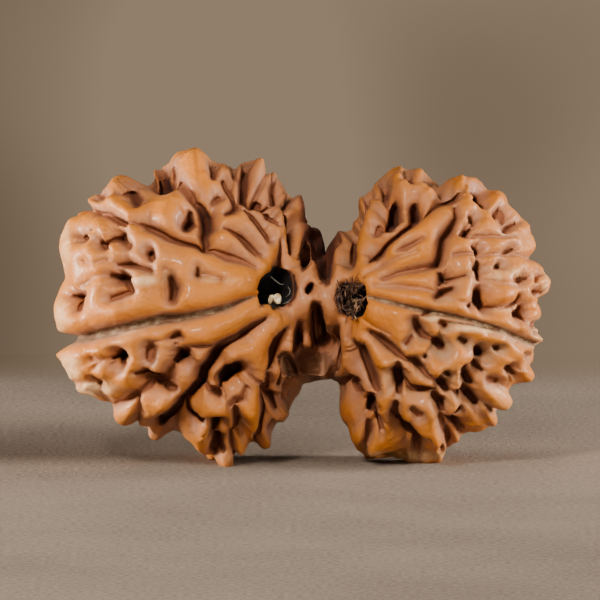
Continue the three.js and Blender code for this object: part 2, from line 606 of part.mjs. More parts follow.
  // Smooth ground that is left behind the rim gets short grooves of its own, which
  // run toward the pole as all the others do.
  fillBack() {
    const [shortest, longest] = BACK_LENGTH;
    const [narrowest, widest] = BACK_HALF_WIDTH;
    for (let draw = 0; draw < BACK_DRAWS; draw += 1) {
      const height = 2 * this.random() - 1;
      const turn = 2 * Math.PI * this.random();
      const bend = rad(BACK_BEND) * (2 * this.random() - 1);
      const length = shortest + (longest - shortest) * this.random() ** 2;
      const halfWidth = narrowest + (widest - narrowest) * this.random();
      const flat = Math.sqrt(1 - height * height);
      const start = new THREE.Vector3(flat * Math.cos(turn), flat * Math.sin(turn), height);
      const inJoint = start.x * this.side < -JOINT_SHARE;
      const behind = start.dot(TO_VIEWER) < BACK_LIMIT;
      if (behind && !inJoint && this.clearance(start) > BACK_SPACING) {
        this.addWanderingGroove(start, bend, length, halfWidth);
      }
    }
  }

  addWanderingGroove(start, bend, length, halfWidth) {
    const toPole = this.axis.clone().addScaledVector(start, -this.axis.dot(start)).normalize();
    const heading = toPole.applyAxisAngle(start, bend);
    const directions = [start];
    const halfWidths = [halfWidth];
    const steps = Math.ceil(length / BACK_STEP);
    for (let step = 1; step <= steps; step += 1) {
      const reach = length * step / steps / this.plan.middleRadius;
      const next = start.clone().addScaledVector(heading, reach).normalize();
      if (this.clearance(next) < BACK_END_SPACING) {
        break;
      }
      directions.push(next);
      halfWidths.push(halfWidth * (1 - 0.6 * step / steps));
    }
    this.addGroove(directions, halfWidths, 'deep');
  }

  // Grooves are cut in and the ridges round off toward them, all the more between two.
  loweringAt(point) {
    const flatPoint = squeezed(point);
    let depth = 0;
    let rounding = 0;
    for (const groove of this.grooves) {
      const spot = groove.sketched ? flatPoint : point;
      if (groove.middle.distanceTo(spot) < groove.reach) {
        const kind = KINDS[groove.kind];
        const { outside, halfWidth } = nearestStretch(groove, spot);
        const inward = Math.min(Math.max(1 + outside / (GROOVE_SPREAD * halfWidth), 0), 1);
        const full = Math.min(kind.steepness * halfWidth, kind.deepest);
        depth = Math.max(depth, full * (1 - inward ** 4) ** 2);
        const drop = (RIM_DROP + RIM_DROP_BY_WIDTH * halfWidth) * kind.rounding;
        const run = RIM_RUN + RIM_RUN_BY_WIDTH * halfWidth;
        rounding += (drop * Math.exp(-Math.max(outside, 0) / run)) ** 2;
      }
    }
    return { rounding: Math.sqrt(rounding), depth };
  }

  // The ridge tops swell a little over the smooth ball, less so along its outline. The
  // drop is what the grooves sink along the line of sight.
  reliefAt(direction) {
    const base = this.baseRadius(direction);
    const point = direction.clone().multiplyScalar(base);
    const facing = direction.dot(TO_VIEWER);
    const rim = 1 - facing ** 2;
    const swell = TOP_SWELL * (1 - TOP_SWELL_LOST_AT_RIM * rim * rim);
    const { rounding, depth } = this.loweringAt(point);
    const drop = depth * THREE.MathUtils.smoothstep(facing, 0, SIGHT_FACING);
    let radius = base + swell + this.unevenness(point) - rounding - depth + drop;
    for (const knob of this.knobs) {
      const away = knob.point.distanceTo(point) / knob.reach;
      radius += knob.height * Math.exp(-away * away);
    }
    return { radius, drop };
  }

  toGeometry() {
    const ball = new THREE.IcosahedronGeometry(1, SPHERE_DETAIL);
    ball.deleteAttribute('normal');
    ball.deleteAttribute('uv');
    const geometry = mergeVertices(ball, 1e-5);
    const positions = geometry.getAttribute('position');
    const direction = new THREE.Vector3();
    for (let index = 0; index < positions.count; index += 1) {
      direction.fromBufferAttribute(positions, index).normalize();
      const { radius, drop } = this.reliefAt(direction);
      direction.multiplyScalar(radius).addScaledVector(TO_VIEWER, -drop).add(this.centre);
      positions.setXYZ(index, direction.x, direction.y, direction.z);
    }
    return geometry;
  }

  canal() {
    const length = 4 * this.plan.poleRadius;
    const geometry = new THREE.CylinderGeometry(CANAL_RADIUS, CANAL_RADIUS, length, CANAL_SIDES);
    const turn = new THREE.Quaternion().setFromUnitVectors(new THREE.Vector3(0, 1, 0), this.axis);
    geometry.applyQuaternion(turn);
    geometry.translate(this.centre.x, this.centre.y, this.centre.z);
    return geometry;
  }
}

function smoothRing(values, halfSpan) {
  const count = values.length;
  return values.map((value, index) => {
    let sum = 0;
    for (let step = -halfSpan; step <= halfSpan; step += 1) {
      sum += values[(index + step + count) % count];
    }
    return sum / (2 * halfSpan + 1);
  });
}

function ringValue(values, place) {
  const low = Math.floor(place);
  const share = place - low;
  const count = values.length;
  return values[low % count] * (1 - share) + values[(low + 1) % count] * share;
}

// How far a surface point lies outside the nearest stretch of a groove, and how wide the
// groove is there.
function nearestStretch({ points, halfWidths }, point) {
  let outside = Infinity;
  let nearestWidth = 0;
  const last = points.length - 1;
  for (let index = 0; index < Math.max(last, 1); index += 1) {
    const after = Math.min(index + 1, last);
    const start = points[index];
    const dx = points[after].x - start.x;
    const dy = points[after].y - start.y;
    const dz = points[after].z - start.z;
    const px = point.x - start.x;
    const py = point.y - start.y;
    const pz = point.z - start.z;
    const squared = dx * dx + dy * dy + dz * dz;
    const along = squared > 0 ? (px * dx + py * dy + pz * dz) / squared : 0;
    const share = Math.min(Math.max(along, 0), 1);
    const distance = Math.hypot(px - share * dx, py - share * dy, pz - share * dz);
    const halfWidth = halfWidths[index] + share * (halfWidths[after] - halfWidths[index]);
    if (distance - GROOVE_SPREAD * halfWidth < outside) {
      outside = distance - GROOVE_SPREAD * halfWidth;
      nearestWidth = halfWidth;
    }
  }
  return { outside, halfWidth: nearestWidth };
}

// A lumpy lens of the joint: round across the line of sight and blunt along it.
function lensGeometry([column, row, halfWidth, halfHeight, lean, near, halfDepth]) {
  const ball = new THREE.IcosahedronGeometry(1, LENS_DETAIL);
  const positions = ball.getAttribute('position');
  const spot = new THREE.Vector3();
  for (let index = 0; index < positions.count; index += 1) {
    spot.fromBufferAttribute(positions, index);
    const lumps = Math.sin(6 * spot.x + column) + Math.sin(7 * spot.y + row)
      + Math.sin(9 * spot.z + column + row);
    const blunt = (Math.hypot(spot.x, spot.y) ** 4 + spot.z ** 4) ** 0.25;
    spot.multiplyScalar((1 + LENS_LUMPS * lumps) / blunt);
    positions.setXYZ(index, spot.x, spot.y, spot.z);
  }
  const turn = rad(lean);
  const across = fromSketch(Math.cos(turn), -Math.sin(turn), 0).multiplyScalar(halfWidth * GRID);
  const along = fromSketch(Math.sin(turn), Math.cos(turn), 0).multiplyScalar(halfHeight * GRID);
  const centre = onMiddlePlane([column, row]).addScaledVector(TO_VIEWER, near);
  const frame = new THREE.Matrix4().makeBasis(across, along, fromSketch(0, 0, halfDepth));
  ball.applyMatrix4(frame.setPosition(centre));
  return ball;
}

// Corners are moved to the nearest whole weld distance, so that close ones become one.
function toSolid(wasm, geometry) {
  const plain = geometry.clone();
  plain.deleteAttribute('normal');
  plain.deleteAttribute('uv');
  const { array } = plain.getAttribute('position');
  for (let index = 0; index < array.length; index += 1) {
    array[index] = Math.round(array[index] / WELD) * WELD;
  }
  const merged = mergeVertices(plain, WELD / 4);
  return new wasm.Manifold(new wasm.Mesh({
    numProp: 3,
    vertProperties: new Float32Array(merged.getAttribute('position').array),
    triVerts: new Uint32Array(merged.getIndex().array),
  }));
}

function toBufferGeometry(solid) {
  const mesh = solid.getMesh();
  const geometry = new THREE.BufferGeometry();
  geometry.setAttribute('position', new THREE.BufferAttribute(new Float32Array(mesh.vertProperties), 3));
  geometry.setIndex(new THREE.BufferAttribute(new Uint32Array(mesh.triVerts), 1));
  return geometry;
}

// Loose chips are dropped and pockets sealed inside the joint are filled.
function mainBody(solid) {
  const bodies = solid.decompose();
  bodies.sort((a, b) => b.volume() - a.volume());
  return bodies[0];
}

async function growSeed() {
  const left = new Stone(leftStone, -1, LEFT_DRAWS_FROM);
  const right = new Stone(rightStone, 1, RIGHT_DRAWS_FROM);
  left.carveFront();
  right.carveFront();
  left.carveBack(right);
  right.carveBack(left);
  left.fillBack();
  right.fillBack();
  leftFeet.forEach((foot) => left.addFoot(foot));
  rightFeet.forEach((foot) => right.addFoot(foot));

  const wasm = await Module();
  wasm.setup();
  const ground = new THREE.BoxGeometry(80, 80, 20);
  ground.translate(0, 0, -10);
  let whole = toSolid(wasm, left.toGeometry());
  for (const added of [right.toGeometry(), lensGeometry(bridge), lensGeometry(web)]) {
    whole = whole.add(toSolid(wasm, added));
  }
  const lenses = [...gaps, ...hollows, ...holes].map(lensGeometry);
  for (const cut of [left.canal(), right.canal(), ...lenses, ground]) {
    whole = whole.subtract(toSolid(wasm, cut));
  }
  const fine = toBufferGeometry(mainBody(whole));
  const triangles = fine.getIndex().count / 3;
  const vertices = fine.getAttribute('position').count;
  const surplus = Math.round(vertices * (1 - TRIANGLE_BUDGET / triangles));
  const simple = await new SimplifyModifier().modify(fine, surplus);
  const seed = toBufferGeometry(mainBody(toSolid(wasm, simple)));
  seed.computeBoundingBox();
  const middle = seed.boundingBox.getCenter(new THREE.Vector3());
  seed.translate(-middle.x, -middle.y, 0);
  seed.computeVertexNormals();
  return seed;
}

const shell = new THREE.MeshStandardMaterial({ color: 0xa8683a, roughness: 0.5, metalness: 0 });
const seed = new THREE.Mesh(await growSeed(), shell);
seed.name = 'joined_rudraksha_seed';
const part = new THREE.Group();
part.add(seed);

export default part;
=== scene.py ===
import math
import bmesh
import bpy
import numpy as np
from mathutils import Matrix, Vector
from mathutils.kdtree import KDTree


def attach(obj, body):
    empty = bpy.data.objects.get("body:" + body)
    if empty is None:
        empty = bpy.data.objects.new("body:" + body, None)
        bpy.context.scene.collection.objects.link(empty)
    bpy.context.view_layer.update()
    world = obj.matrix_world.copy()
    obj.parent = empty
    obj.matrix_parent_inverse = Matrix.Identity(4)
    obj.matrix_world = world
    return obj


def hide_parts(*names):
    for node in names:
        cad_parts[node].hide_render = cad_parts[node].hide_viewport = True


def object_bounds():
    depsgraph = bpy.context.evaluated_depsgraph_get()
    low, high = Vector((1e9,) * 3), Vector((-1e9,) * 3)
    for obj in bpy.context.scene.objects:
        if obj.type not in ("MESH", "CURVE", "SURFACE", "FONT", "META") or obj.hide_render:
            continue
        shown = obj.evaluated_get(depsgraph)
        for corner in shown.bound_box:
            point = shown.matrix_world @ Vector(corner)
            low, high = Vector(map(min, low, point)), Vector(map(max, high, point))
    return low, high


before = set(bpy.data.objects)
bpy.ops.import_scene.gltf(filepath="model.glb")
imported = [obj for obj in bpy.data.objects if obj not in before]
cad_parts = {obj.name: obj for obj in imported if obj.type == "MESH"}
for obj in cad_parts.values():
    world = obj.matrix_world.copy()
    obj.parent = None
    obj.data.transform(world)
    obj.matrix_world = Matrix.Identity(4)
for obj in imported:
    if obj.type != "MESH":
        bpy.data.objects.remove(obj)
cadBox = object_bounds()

millimetre = 0.001
seedNode = "joined_rudraksha_seed"

# The sketch grid of the ridges: looks along +Y and a little down, rows counted downward
sketch = {
    "grid": 39.2 / 490,        # mm for one square
    "middle": 302,             # column over the pair's middle
    "ground": 462.4,           # row of the ground
    "tilt": 5.5,               # degrees looked down
}
tilt = math.radians(sketch["tilt"])
across = np.array([1.0, 0.0, 0.0])
upward = np.array([0.0, math.sin(tilt), math.cos(tilt)])
toViewer = np.array([0.0, -math.cos(tilt), math.sin(tilt)])


# The point seen at a place of the sketch that lies near mm nearer the viewer than the middle
def sketchPoint(column, row, near=0.0):
    x = (column - sketch["middle"]) * sketch["grid"]
    z = (sketch["ground"] - row) * sketch["grid"] / math.cos(tilt)
    return np.array([x, 0.0, z]) + near * toViewer


# Column and row of points in mm
def sketchPlace(points):
    column = points @ across / sketch["grid"] + sketch["middle"]
    return column, sketch["ground"] - points @ upward / sketch["grid"]


# What shapes the ridges, in mm
relief = {
    "widen": 1.15,             # rounded rims start this much outside the dark part
    "sink": 0.75,              # the grooves' rims lie this much below the smooth ball
    "deepest": 2.8, "cleftDeepest": 5,
    "rise": (0.45, 2.8),       # height of the ridge over the groove's rim, fixed and by half width
    "reach": (0.2, 0.8),       # how far that rounding runs, fixed and by half width
    "swell": 0.4,
    "squeeze": 0.2,            # sketched grooves reach farther along the line of sight,
    "facing": 0.2,             # and sink along it where the stone faces the viewer this much
    "knobReach": 1.1, "footReach": 1.7, "footPress": 0.45,
    "canalRadius": 0.85, "backMouth": 1.1,
    "waves": 18, "waveHeight": 0.045, "shortestWave": 2.2, "waveRange": 4,
    "ringSteps": 720, "slowHalfSpan": 14,    # steps of the outline's ring, and of its smoothing
    "lineStep": 8,             # squares between the corners of a sketched groove
    "farthest": 2.4,           # ground farther than this from a groove doesn't feel it
}

# The hidden side: mirrored ridges, and short grooves drawn at random, in mm and degrees
backFill = {
    "draws": 900, "limit": 0.06, "jointShare": 0.86, "spacing": 1, "endSpacing": 0.5, "bend": 50,
    "length": (0.6, 3.2), "halfWidth": (0.16, 0.22), "step": 0.8, "taper": 0.6,
    "mirrorLimit": 0.12,       # mirrored ridges start this far behind the rim
}

# How deep each kind of groove is for its half width, and how strongly the ridges round off toward it
steepness = {"seam": 2.6, "deep": 4, "medium": 2.2, "shallow": 1.1, "cleft": 9, "mouth": 2}
strength = {"seam": 0.7, "deep": 1, "medium": 0.75, "shallow": 0.45, "cleft": 1, "mouth": 0.4}

# Outlines go round each stone; grooves are lists of [column, row, half width]
leftStone = {
    "middleRadius": 12.8,
    "poleRadius": 10.2,
    "centre": [201, 306.5],
    "frontHole": [279, 289],
    "mouth": [[278, 272, 6], [280, 285, 11], [279, 296, 10], [268, 307, 2]],
    "outline": [
        [150, 158], [160, 153], [178, 149], [190, 147], [198, 146], [204, 151], [213, 156], [226, 164],
        [237, 166], [242, 159], [250, 156], [258, 155], [263, 159], [267, 177], [272, 170], [276, 169],
        [281, 175], [285, 186], [292, 197], [297, 192], [304, 191], [307, 200], [307, 216], [312, 220],
        [317, 226], [320, 235], [325, 243], [329, 262], [332, 280], [333, 300], [333, 325], [333, 350],
        [331, 379], [315, 381], [305, 386], [295, 400], [287, 414], [281, 422], [277, 432], [270, 446],
        [261, 450], [250, 441], [241, 454], [236, 454], [227, 466], [219, 461], [200, 448], [182, 433],
        [172, 434], [156, 446], [149, 443], [146, 437], [147, 431], [137, 425], [125, 424], [114, 408],
        [112, 400], [104, 400], [84, 391], [70, 376], [57, 360], [57, 353], [68, 345], [77, 338], [60, 331],
        [58, 320], [59, 302], [62, 292], [69, 279], [64, 264], [61, 249], [63, 238], [72, 220], [85, 214],
        [91, 209], [86, 200], [92, 193], [98, 185], [110, 183], [118, 175], [126, 174], [136, 178],
        [143, 181], [146, 172],
    ],
    "seam": [
        [[252, 297, 1], [240, 301, 2], [225, 308, 3], [205, 313, 3.5], [185, 317, 4], [165, 319, 5],
         [150, 322, 4.5], [135, 325, 4.5], [118, 330, 5], [100, 334, 5], [85, 338, 4.5], [68, 341, 5]],
    ],
    "deep": [
        [[126, 197, 2.5], [133, 193, 4.5], [136, 200, 4.5], [138, 207, 2.5]],
        [[88, 206, 1.2], [100, 213, 2], [113, 218, 2.8], [123, 223, 3], [129, 226, 2.2], [134, 226, 0.8],
         [144, 225.5, 1.8], [150, 228, 3], [160, 234, 3.2], [170, 240, 3.2], [182, 243, 3],
         [205, 249, 3]],
        [[85, 236, 2.5], [89, 238, 4], [92, 236, 2.5], [98, 234, 1]],
        [[106, 245, 3], [108, 247, 3.5], [113, 244, 2], [118, 240, 2.5], [123, 238, 4], [126, 236, 2.5]],
        [[153, 255, 3.5], [155, 260, 3]],
        [[120, 265, 1.5], [130, 264, 3.2], [136, 266, 3], [145, 269, 2.5], [154, 272, 2.5]],
        [[115, 276, 2.5], [122, 277, 5], [128, 280, 5], [131, 285, 3.5], [134, 291, 3]],
        [[173, 280, 3], [175, 290, 4.5], [174, 299, 3.5]], [[199, 271, 1.5], [199, 276, 2.5]],
        [[76, 296, 2], [82, 297, 4], [90, 294, 1.5]], [[82, 299, 3.5], [83, 309, 2.5]],
        [[115, 358, 3], [120, 358, 6], [123, 362, 4]], [[173, 337, 2], [179, 335, 3], [182, 336, 2]],
        [[177, 362, 4], [184, 356, 6.5], [187, 352, 4.5]],
        [[194, 345, 1.5], [203, 345, 2], [211, 345, 1.5]],
        [[262, 318, 1.5], [254, 325, 3], [245, 333, 4], [238, 337, 3.5], [230, 341, 4], [221, 348, 5],
         [217, 356, 6], [212, 364, 5.5], [205, 372, 6], [203, 385, 6], [193, 393, 5], [183, 400, 5],
         [178, 410, 5], [170, 420, 6], [160, 428, 6]],
        [[140, 370, 1.5], [148, 372, 4], [152, 377, 4.5]],
        [[164, 388, 2.5], [171, 388, 3.5], [177, 387, 2.5]],
        [[222, 387, 4], [227, 382, 8], [233, 377, 8.5], [239, 371, 7]],
        [[206, 389, 1.5], [214, 392, 4], [220, 394, 3.5]],
        [[236, 410, 3], [239, 420, 4], [238, 429, 3], [232, 433, 2], [231, 442, 2], [235, 450, 1.5]],
        [[212, 435, 2.5], [218, 424, 6]], [[214, 446, 4], [219, 444, 5.5], [223, 447, 3]],
        [[186, 402, 3], [190, 412, 4], [196, 417, 4.5], [203, 418, 3]],
        [[161, 166, 6.5], [161, 174, 9], [164, 180, 8]], [[173, 163, 2], [174, 170, 2]],
        [[211, 158, 2.5], [213, 168, 3.5], [213, 177, 3.5], [213, 183, 2]],
        [[223, 184, 2.5], [228, 191, 3.2], [235, 199, 4], [237, 206, 4], [232, 213, 3], [226, 217, 2]],
        [[196, 199, 3.5], [202, 207, 5], [207, 216, 6.5], [208, 226, 6], [205, 235, 4.5], [207, 243, 4],
         [205, 249, 3]],
        [[191, 213, 3], [190, 220, 5.5], [187, 225, 5]],
        [[245, 212, 2], [252, 220, 3.3], [260, 231, 3.7], [267, 241, 3]],
        [[224, 230, 1], [232, 233, 2.2], [241, 239, 3.2], [249, 247, 3.7], [256, 254, 3],
         [259, 258, 1.5]],
        [[247, 166, 4], [246, 180, 5], [246, 195, 5], [252, 205, 4], [262, 208, 3.5], [268, 207, 2]],
        [[258, 200, 4.5], [261, 203, 4]], [[262, 211, 2], [268, 219, 3.5], [275, 228, 2]],
        [[284, 213, 2.5], [288, 222, 3.7], [290, 234, 3.9], [290, 245, 3.5], [289, 254, 2]],
        [[277, 245, 1], [279, 256, 2.2], [280, 265, 3.2]],
        [[271, 178, 2], [273, 190, 3.5], [274, 203, 3]], [[291, 196, 2], [288, 203, 4.5], [285, 208, 3]],
        [[307, 293, 1.8], [310, 289, 2.5], [312, 285, 1.5]],
        [[292, 366, 1.5], [288, 380, 2.5], [284, 398, 2.5]],
        [[303, 366, 1.5], [298, 380, 2.5], [293, 396, 2]],
        [[300, 321, 1.5], [299, 330, 3.5], [298, 337, 3.5], [299, 353, 5]],
        [[282, 329, 2], [279, 340, 4], [276, 350, 4.5], [272, 361, 3.5], [267, 369, 2.5]],
        [[269, 375, 2], [270, 385, 3], [268, 395, 4], [274, 400, 5], [274, 406, 3]],
        [[281, 370, 1.5], [280, 385, 2.5]],
        [[262, 385, 2], [265, 400, 3], [264, 415, 4], [261, 430, 3.5], [255, 440, 2.5]],
    ],
    "medium": [
        [[205, 249, 3], [215, 252, 3.5], [228, 257, 4.5], [240, 263, 3.5], [252, 270, 1.5]],
        [[101, 201, 3], [104, 197, 4.5]], [[140, 208, 2], [147, 205, 2]], [[126, 241, 3], [131, 247, 3]],
        [[132, 292, 2.5], [126, 296, 3.5], [118, 299, 3]], [[153, 348, 5], [153, 355, 4.5]],
        [[150, 379, 6], [160, 382, 7], [169, 378, 6], [172, 369, 4.5]],
        [[150, 386, 4], [143, 389, 3.5], [138, 393, 4], [130, 397, 3], [120, 400, 2]],
        [[231, 402, 3], [236, 401, 4], [243, 397, 3], [247, 388, 2]], [[214, 204, 3], [218, 201, 4]],
        [[180, 180, 4], [186, 189, 5], [193, 197, 5]], [[231, 171, 2], [235, 178, 3.5]],
        [[250, 375, 1.5], [259, 381, 2], [266, 375, 1.5]], [[270, 427, 4], [275, 424, 4], [277, 422, 2]],
        [[140, 396, 1.5], [142, 408, 2], [138, 422, 1.5]], [[98, 374, 1.5], [103, 380, 2.5]],
    ],
    "shallow": [
        [[92, 264, 1.5], [97, 266, 1.5]], [[104, 266, 1.5], [112, 262, 2.5]],
        [[97, 357, 3.5], [106, 358, 3], [100, 364, 2.5]], [[178, 343, 3]],
        [[150, 341, 1.5], [170, 338, 1.5]], [[205, 276, 2], [220, 281, 2]], [[169, 272, 1.8]],
        [[70, 346, 2], [68, 360, 2], [75, 374, 2], [85, 378, 2], [95, 377, 2], [104, 380, 2],
         [109, 389, 2], [118, 396, 2]],
        [[112, 276, 1.5], [98, 282, 2], [88, 288, 1.5]],
    ],
    "knobs": [
        [258, 160, 0.5], [276, 175, 0.4], [196, 452, 0.3], [193, 158, 0.5], [125, 182, 0.3],
    ],
    "backTurn": 48,
}

rightStone = {
    "middleRadius": 11.8,
    "poleRadius": 9.6,
    "centre": [410, 310.5],
    "frontHole": [350, 298],
    "mouth": [[341, 294, 5], [350, 298, 9], [355, 308, 6]],
    "outline": [
        [316, 256], [313, 270], [311, 290], [310, 310], [311, 335], [317, 355], [324, 371], [331, 379],
        [337, 385], [338, 400], [342, 416], [347, 426], [351, 440], [356, 449], [363, 453], [370, 458],
        [378, 454], [386, 450], [405, 450], [411, 455], [418, 458], [426, 456], [432, 453], [440, 458],
        [448, 457], [453, 449], [461, 444], [467, 435], [476, 428], [486, 423], [494, 424], [498, 419],
        [496, 412], [504, 410], [511, 400], [505, 390], [509, 382], [520, 382], [529, 380], [531, 373],
        [529, 366], [535, 362], [536, 355], [535, 350], [542, 348], [546, 340], [544, 330], [541, 318],
        [538, 309], [532, 302], [538, 298], [546, 293], [548, 280], [543, 269], [538, 263], [530, 256],
        [536, 246], [533, 240], [527, 234], [528, 226], [520, 213], [510, 204], [502, 193], [490, 188],
        [485, 178], [478, 174], [463, 174], [454, 180], [440, 182], [437, 177], [428, 170], [422, 164],
        [400, 163], [390, 169], [378, 175], [372, 187], [358, 193], [358, 205], [359, 213], [352, 220],
        [351, 229], [344, 231], [337, 228], [331, 233], [325, 240], [320, 245],
    ],
    "seam": [
        [[372, 298, 1.5], [395, 304, 2], [415, 309, 2.5], [440, 314, 2.5], [455, 317, 2.2],
         [470, 320.5, 2.2], [485, 325, 2.2], [500, 331, 2.5], [515, 337, 2.5], [530, 343, 2.5],
         [540, 347, 2.5]],
        [[447, 322, 1.2], [462, 323, 1.2], [478, 326, 1.4], [492, 330, 1.2]],
    ],
    "deep": [
        [[384, 185, 4], [384, 194, 4.5], [385, 200, 2.5]],
        [[400, 177, 2], [407, 177, 4], [410, 183, 4], [411, 188, 2]],
        [[414, 187, 2], [421, 184, 3.5], [430, 186, 4], [434, 192, 4], [438, 198, 3]],
        [[393, 206, 6], [391, 216, 7], [388, 226, 5]],
        [[413, 206, 5], [415, 212, 6], [413, 221, 4], [409, 227, 3.5], [402, 233, 3], [394, 240, 3],
         [386, 247, 3], [380, 254, 3.5], [375, 260, 3], [372, 265, 1.5]],
        [[421, 218, 1.5], [430, 213, 2], [438, 208, 2.5], [446, 204, 3.5], [453, 201, 3.5],
         [457, 197, 2]],
        [[358, 233, 2], [354, 240, 3.5], [351, 250, 4.5], [350, 260, 4.5], [352, 268, 2.5]],
        [[369, 190, 2], [366, 200, 2.5], [365, 212, 2.5], [364, 224, 3], [361, 234, 2]],
        [[453, 212, 1.5], [454, 220, 2.5], [449, 229, 4], [442, 238, 4], [440, 248, 4], [438, 258, 4],
         [436, 263, 4], [428, 267, 2]],
        [[438, 275, 2.5], [441, 279, 4.5], [438, 284, 2.5]],
        [[444, 280, 2.5], [450, 280, 1.5], [460, 278, 1]],
        [[435, 297, 3], [440, 293, 4], [448, 290, 2.5]], [[421, 315, 1.5], [426, 313, 2.5]],
        [[439, 322, 2.5], [443, 325, 3]],
        [[414, 321, 3.5], [417, 328, 4.5], [421, 334, 4], [430, 338, 2.5], [436, 342, 5], [440, 346, 5]],
        [[372, 331, 2], [380, 337, 3.5], [389, 346, 4], [397, 353, 3.5], [404, 357, 2.5], [413, 359, 4],
         [419, 365, 4], [425, 371, 2.5], [432, 376, 2], [436, 378, 4], [441, 384, 5], [445, 389, 3]],
        [[357, 340, 1.5], [361, 348, 4], [365, 359, 4.5], [369, 370, 4.5], [373, 381, 4.5],
         [377, 389, 3]],
        [[339, 325, 2], [336, 338, 4.5], [336, 350, 4.5], [338, 362, 3], [339, 370, 1.5]],
        [[443, 370, 2.5], [446, 373, 3]], [[423, 354, 2]],
        [[397, 365, 3.5], [396, 373, 6], [398, 383, 6], [398, 391, 3]],
        [[405, 385, 2.5], [411, 389, 3.5], [419, 391, 4], [427, 390, 3.5], [433, 390, 2]],
        [[434, 397, 4], [439, 402, 5], [441, 410, 3.5]], [[453, 411, 2.5], [458, 408, 3]],
        [[440, 418, 3], [443, 428, 3.5], [448, 438, 3.5], [447, 448, 2]],
        [[449, 420, 4], [455, 425, 5], [461, 430, 3]],
        [[370, 397, 4], [368, 406, 6], [367, 414, 5], [374, 416, 4.5], [376, 424, 4.5], [380, 430, 2.5]],
        [[366, 426, 2.5], [368, 433, 3.5], [366, 440, 2]],
        [[357, 378, 1.5], [350, 377, 2.5], [343, 381, 3], [340, 392, 2.5], [339, 400, 1.5]],
        [[395, 403, 3], [393, 411, 4], [396, 420, 3.5], [402, 426, 4.5], [409, 432, 4.5], [416, 438, 4.5],
         [417, 447, 4]],
        [[420, 432, 1], [427, 432, 1.5]],
        [[471, 196, 3], [476, 192, 5], [477, 200, 4.5], [481, 206, 3.5]],
        [[466, 220, 1.5], [470, 222, 3], [471, 226, 1.5]],
        [[460, 236, 2.5], [465, 232, 3.5], [469, 230, 1.5]],
        [[495, 212, 1.5], [492, 216, 2.5], [491, 220, 1.5]],
        [[502, 232, 2.5], [506, 228, 3], [511, 226, 1.5]], [[471, 249, 2.5], [475, 250, 4]],
        [[499, 254, 1.2], [504, 252, 2.2], [508, 251, 1.5]],
        [[475, 263, 2.5], [475, 270, 4.5], [475, 277, 3]], [[491, 269, 1.5], [495, 267, 2.8]],
        [[509, 281, 1.5], [514, 281, 2.7], [520, 280, 1]],
        [[525, 293, 1.5], [530, 293, 3], [534, 294, 1.5]],
        [[529, 283, 1], [530, 278, 1.3], [534, 275, 1]],
        [[477, 293, 5], [477, 300, 5.5], [480, 306, 4.5]],
        [[482, 308, 2], [490, 307, 1.5], [500, 307, 1.5], [509, 303, 1.5], [512, 296, 1.2]],
        [[465, 306, 2]], [[514, 307, 2], [514, 314, 4], [519, 320, 1.5]], [[530, 324, 3], [535, 326, 3]],
        [[530, 332, 1.2], [536, 333, 1.5], [542, 332, 1.2]], [[458, 338, 2.5], [463, 341, 3]],
        [[490, 345, 2], [494, 347, 3]], [[477, 349, 4.5], [480, 354, 5.5]],
        [[472, 363, 2.5], [476, 366, 4], [480, 369, 2]], [[502, 366, 2.5], [506, 367, 4], [509, 371, 2]],
        [[463, 368, 3.5], [465, 376, 5], [469, 383, 4]], [[453, 390, 2], [458, 393, 3]],
        [[463, 389, 4], [469, 396, 5], [476, 403, 4]], [[515, 378, 1.2], [522, 378, 1.2]],
        [[485, 404, 1.5], [489, 407, 2], [495, 405, 1.5]], [[441, 446, 1.8]],
    ],
    "medium": [
        [[380, 229, 4], [378, 236, 3.5]],
        [[421, 244, 1.2], [412, 248, 2.2], [404, 252, 2.6], [397, 256, 1.2]],
        [[410, 336, 3], [406, 341, 3]], [[354, 384, 6], [357, 392, 5.5]], [[496, 215, 3], [500, 222, 4]],
        [[520, 353, 2], [525, 356, 3]], [[487, 378, 4.5], [492, 379, 4]], [[412, 405, 3], [418, 411, 4]],
        [[462, 239, 1.2], [475, 237, 1.6], [495, 239, 1.6], [508, 240, 1.2]],
        [[450, 258, 1.4], [470, 256.5, 1.2], [490, 256, 1.2], [510, 257, 1.2], [525, 262, 1.5]],
        [[436, 264, 3], [424, 268, 2.8], [410, 271, 2.6], [396, 275, 2], [384, 281, 1.5]],
    ],
    "shallow": [
        [[378, 288, 1.5], [400, 288, 2.5], [418, 290, 2.5], [430, 292, 2]],
        [[357, 422, 1.2], [362, 420, 1.2], [364, 425, 1.4]], [[464, 185, 1.5], [462, 195, 2.5]],
        [[506, 210, 2.5], [514, 217, 2.5]], [[480, 331, 1.2], [495, 335, 1.2], [510, 341, 1.4]],
        [[523, 262, 1.2], [529, 268, 1.2], [527, 274, 1.2]], [[353, 321, 1.5], [352, 335, 2.2]],
        [[366, 318, 1.2], [376, 325, 1.3], [390, 333, 1.2]],
        [[370, 278, 1.2], [384, 268, 1.8], [400, 261, 2], [415, 256, 1.5]],
        [[468, 281, 1.4], [482, 281, 1.4], [496, 285, 1.6], [512, 288, 1.4]],
        [[446, 301, 1.4], [455, 303, 1.4], [461, 304, 1.6]],
    ],
    "knobs": [
        [494, 196, 0.5], [425, 195, 0.4], [397, 187, 0.4], [445, 219, 0.4], [531, 309, 0.5],
        [455, 352, 0.4], [433, 367, 0.4], [453, 380, 0.4], [433, 440, 0.4], [500, 296, 0.5],
        [461, 293, 0.3], [407, 170, 0.3],
    ],
    "backTurn": -40,
}

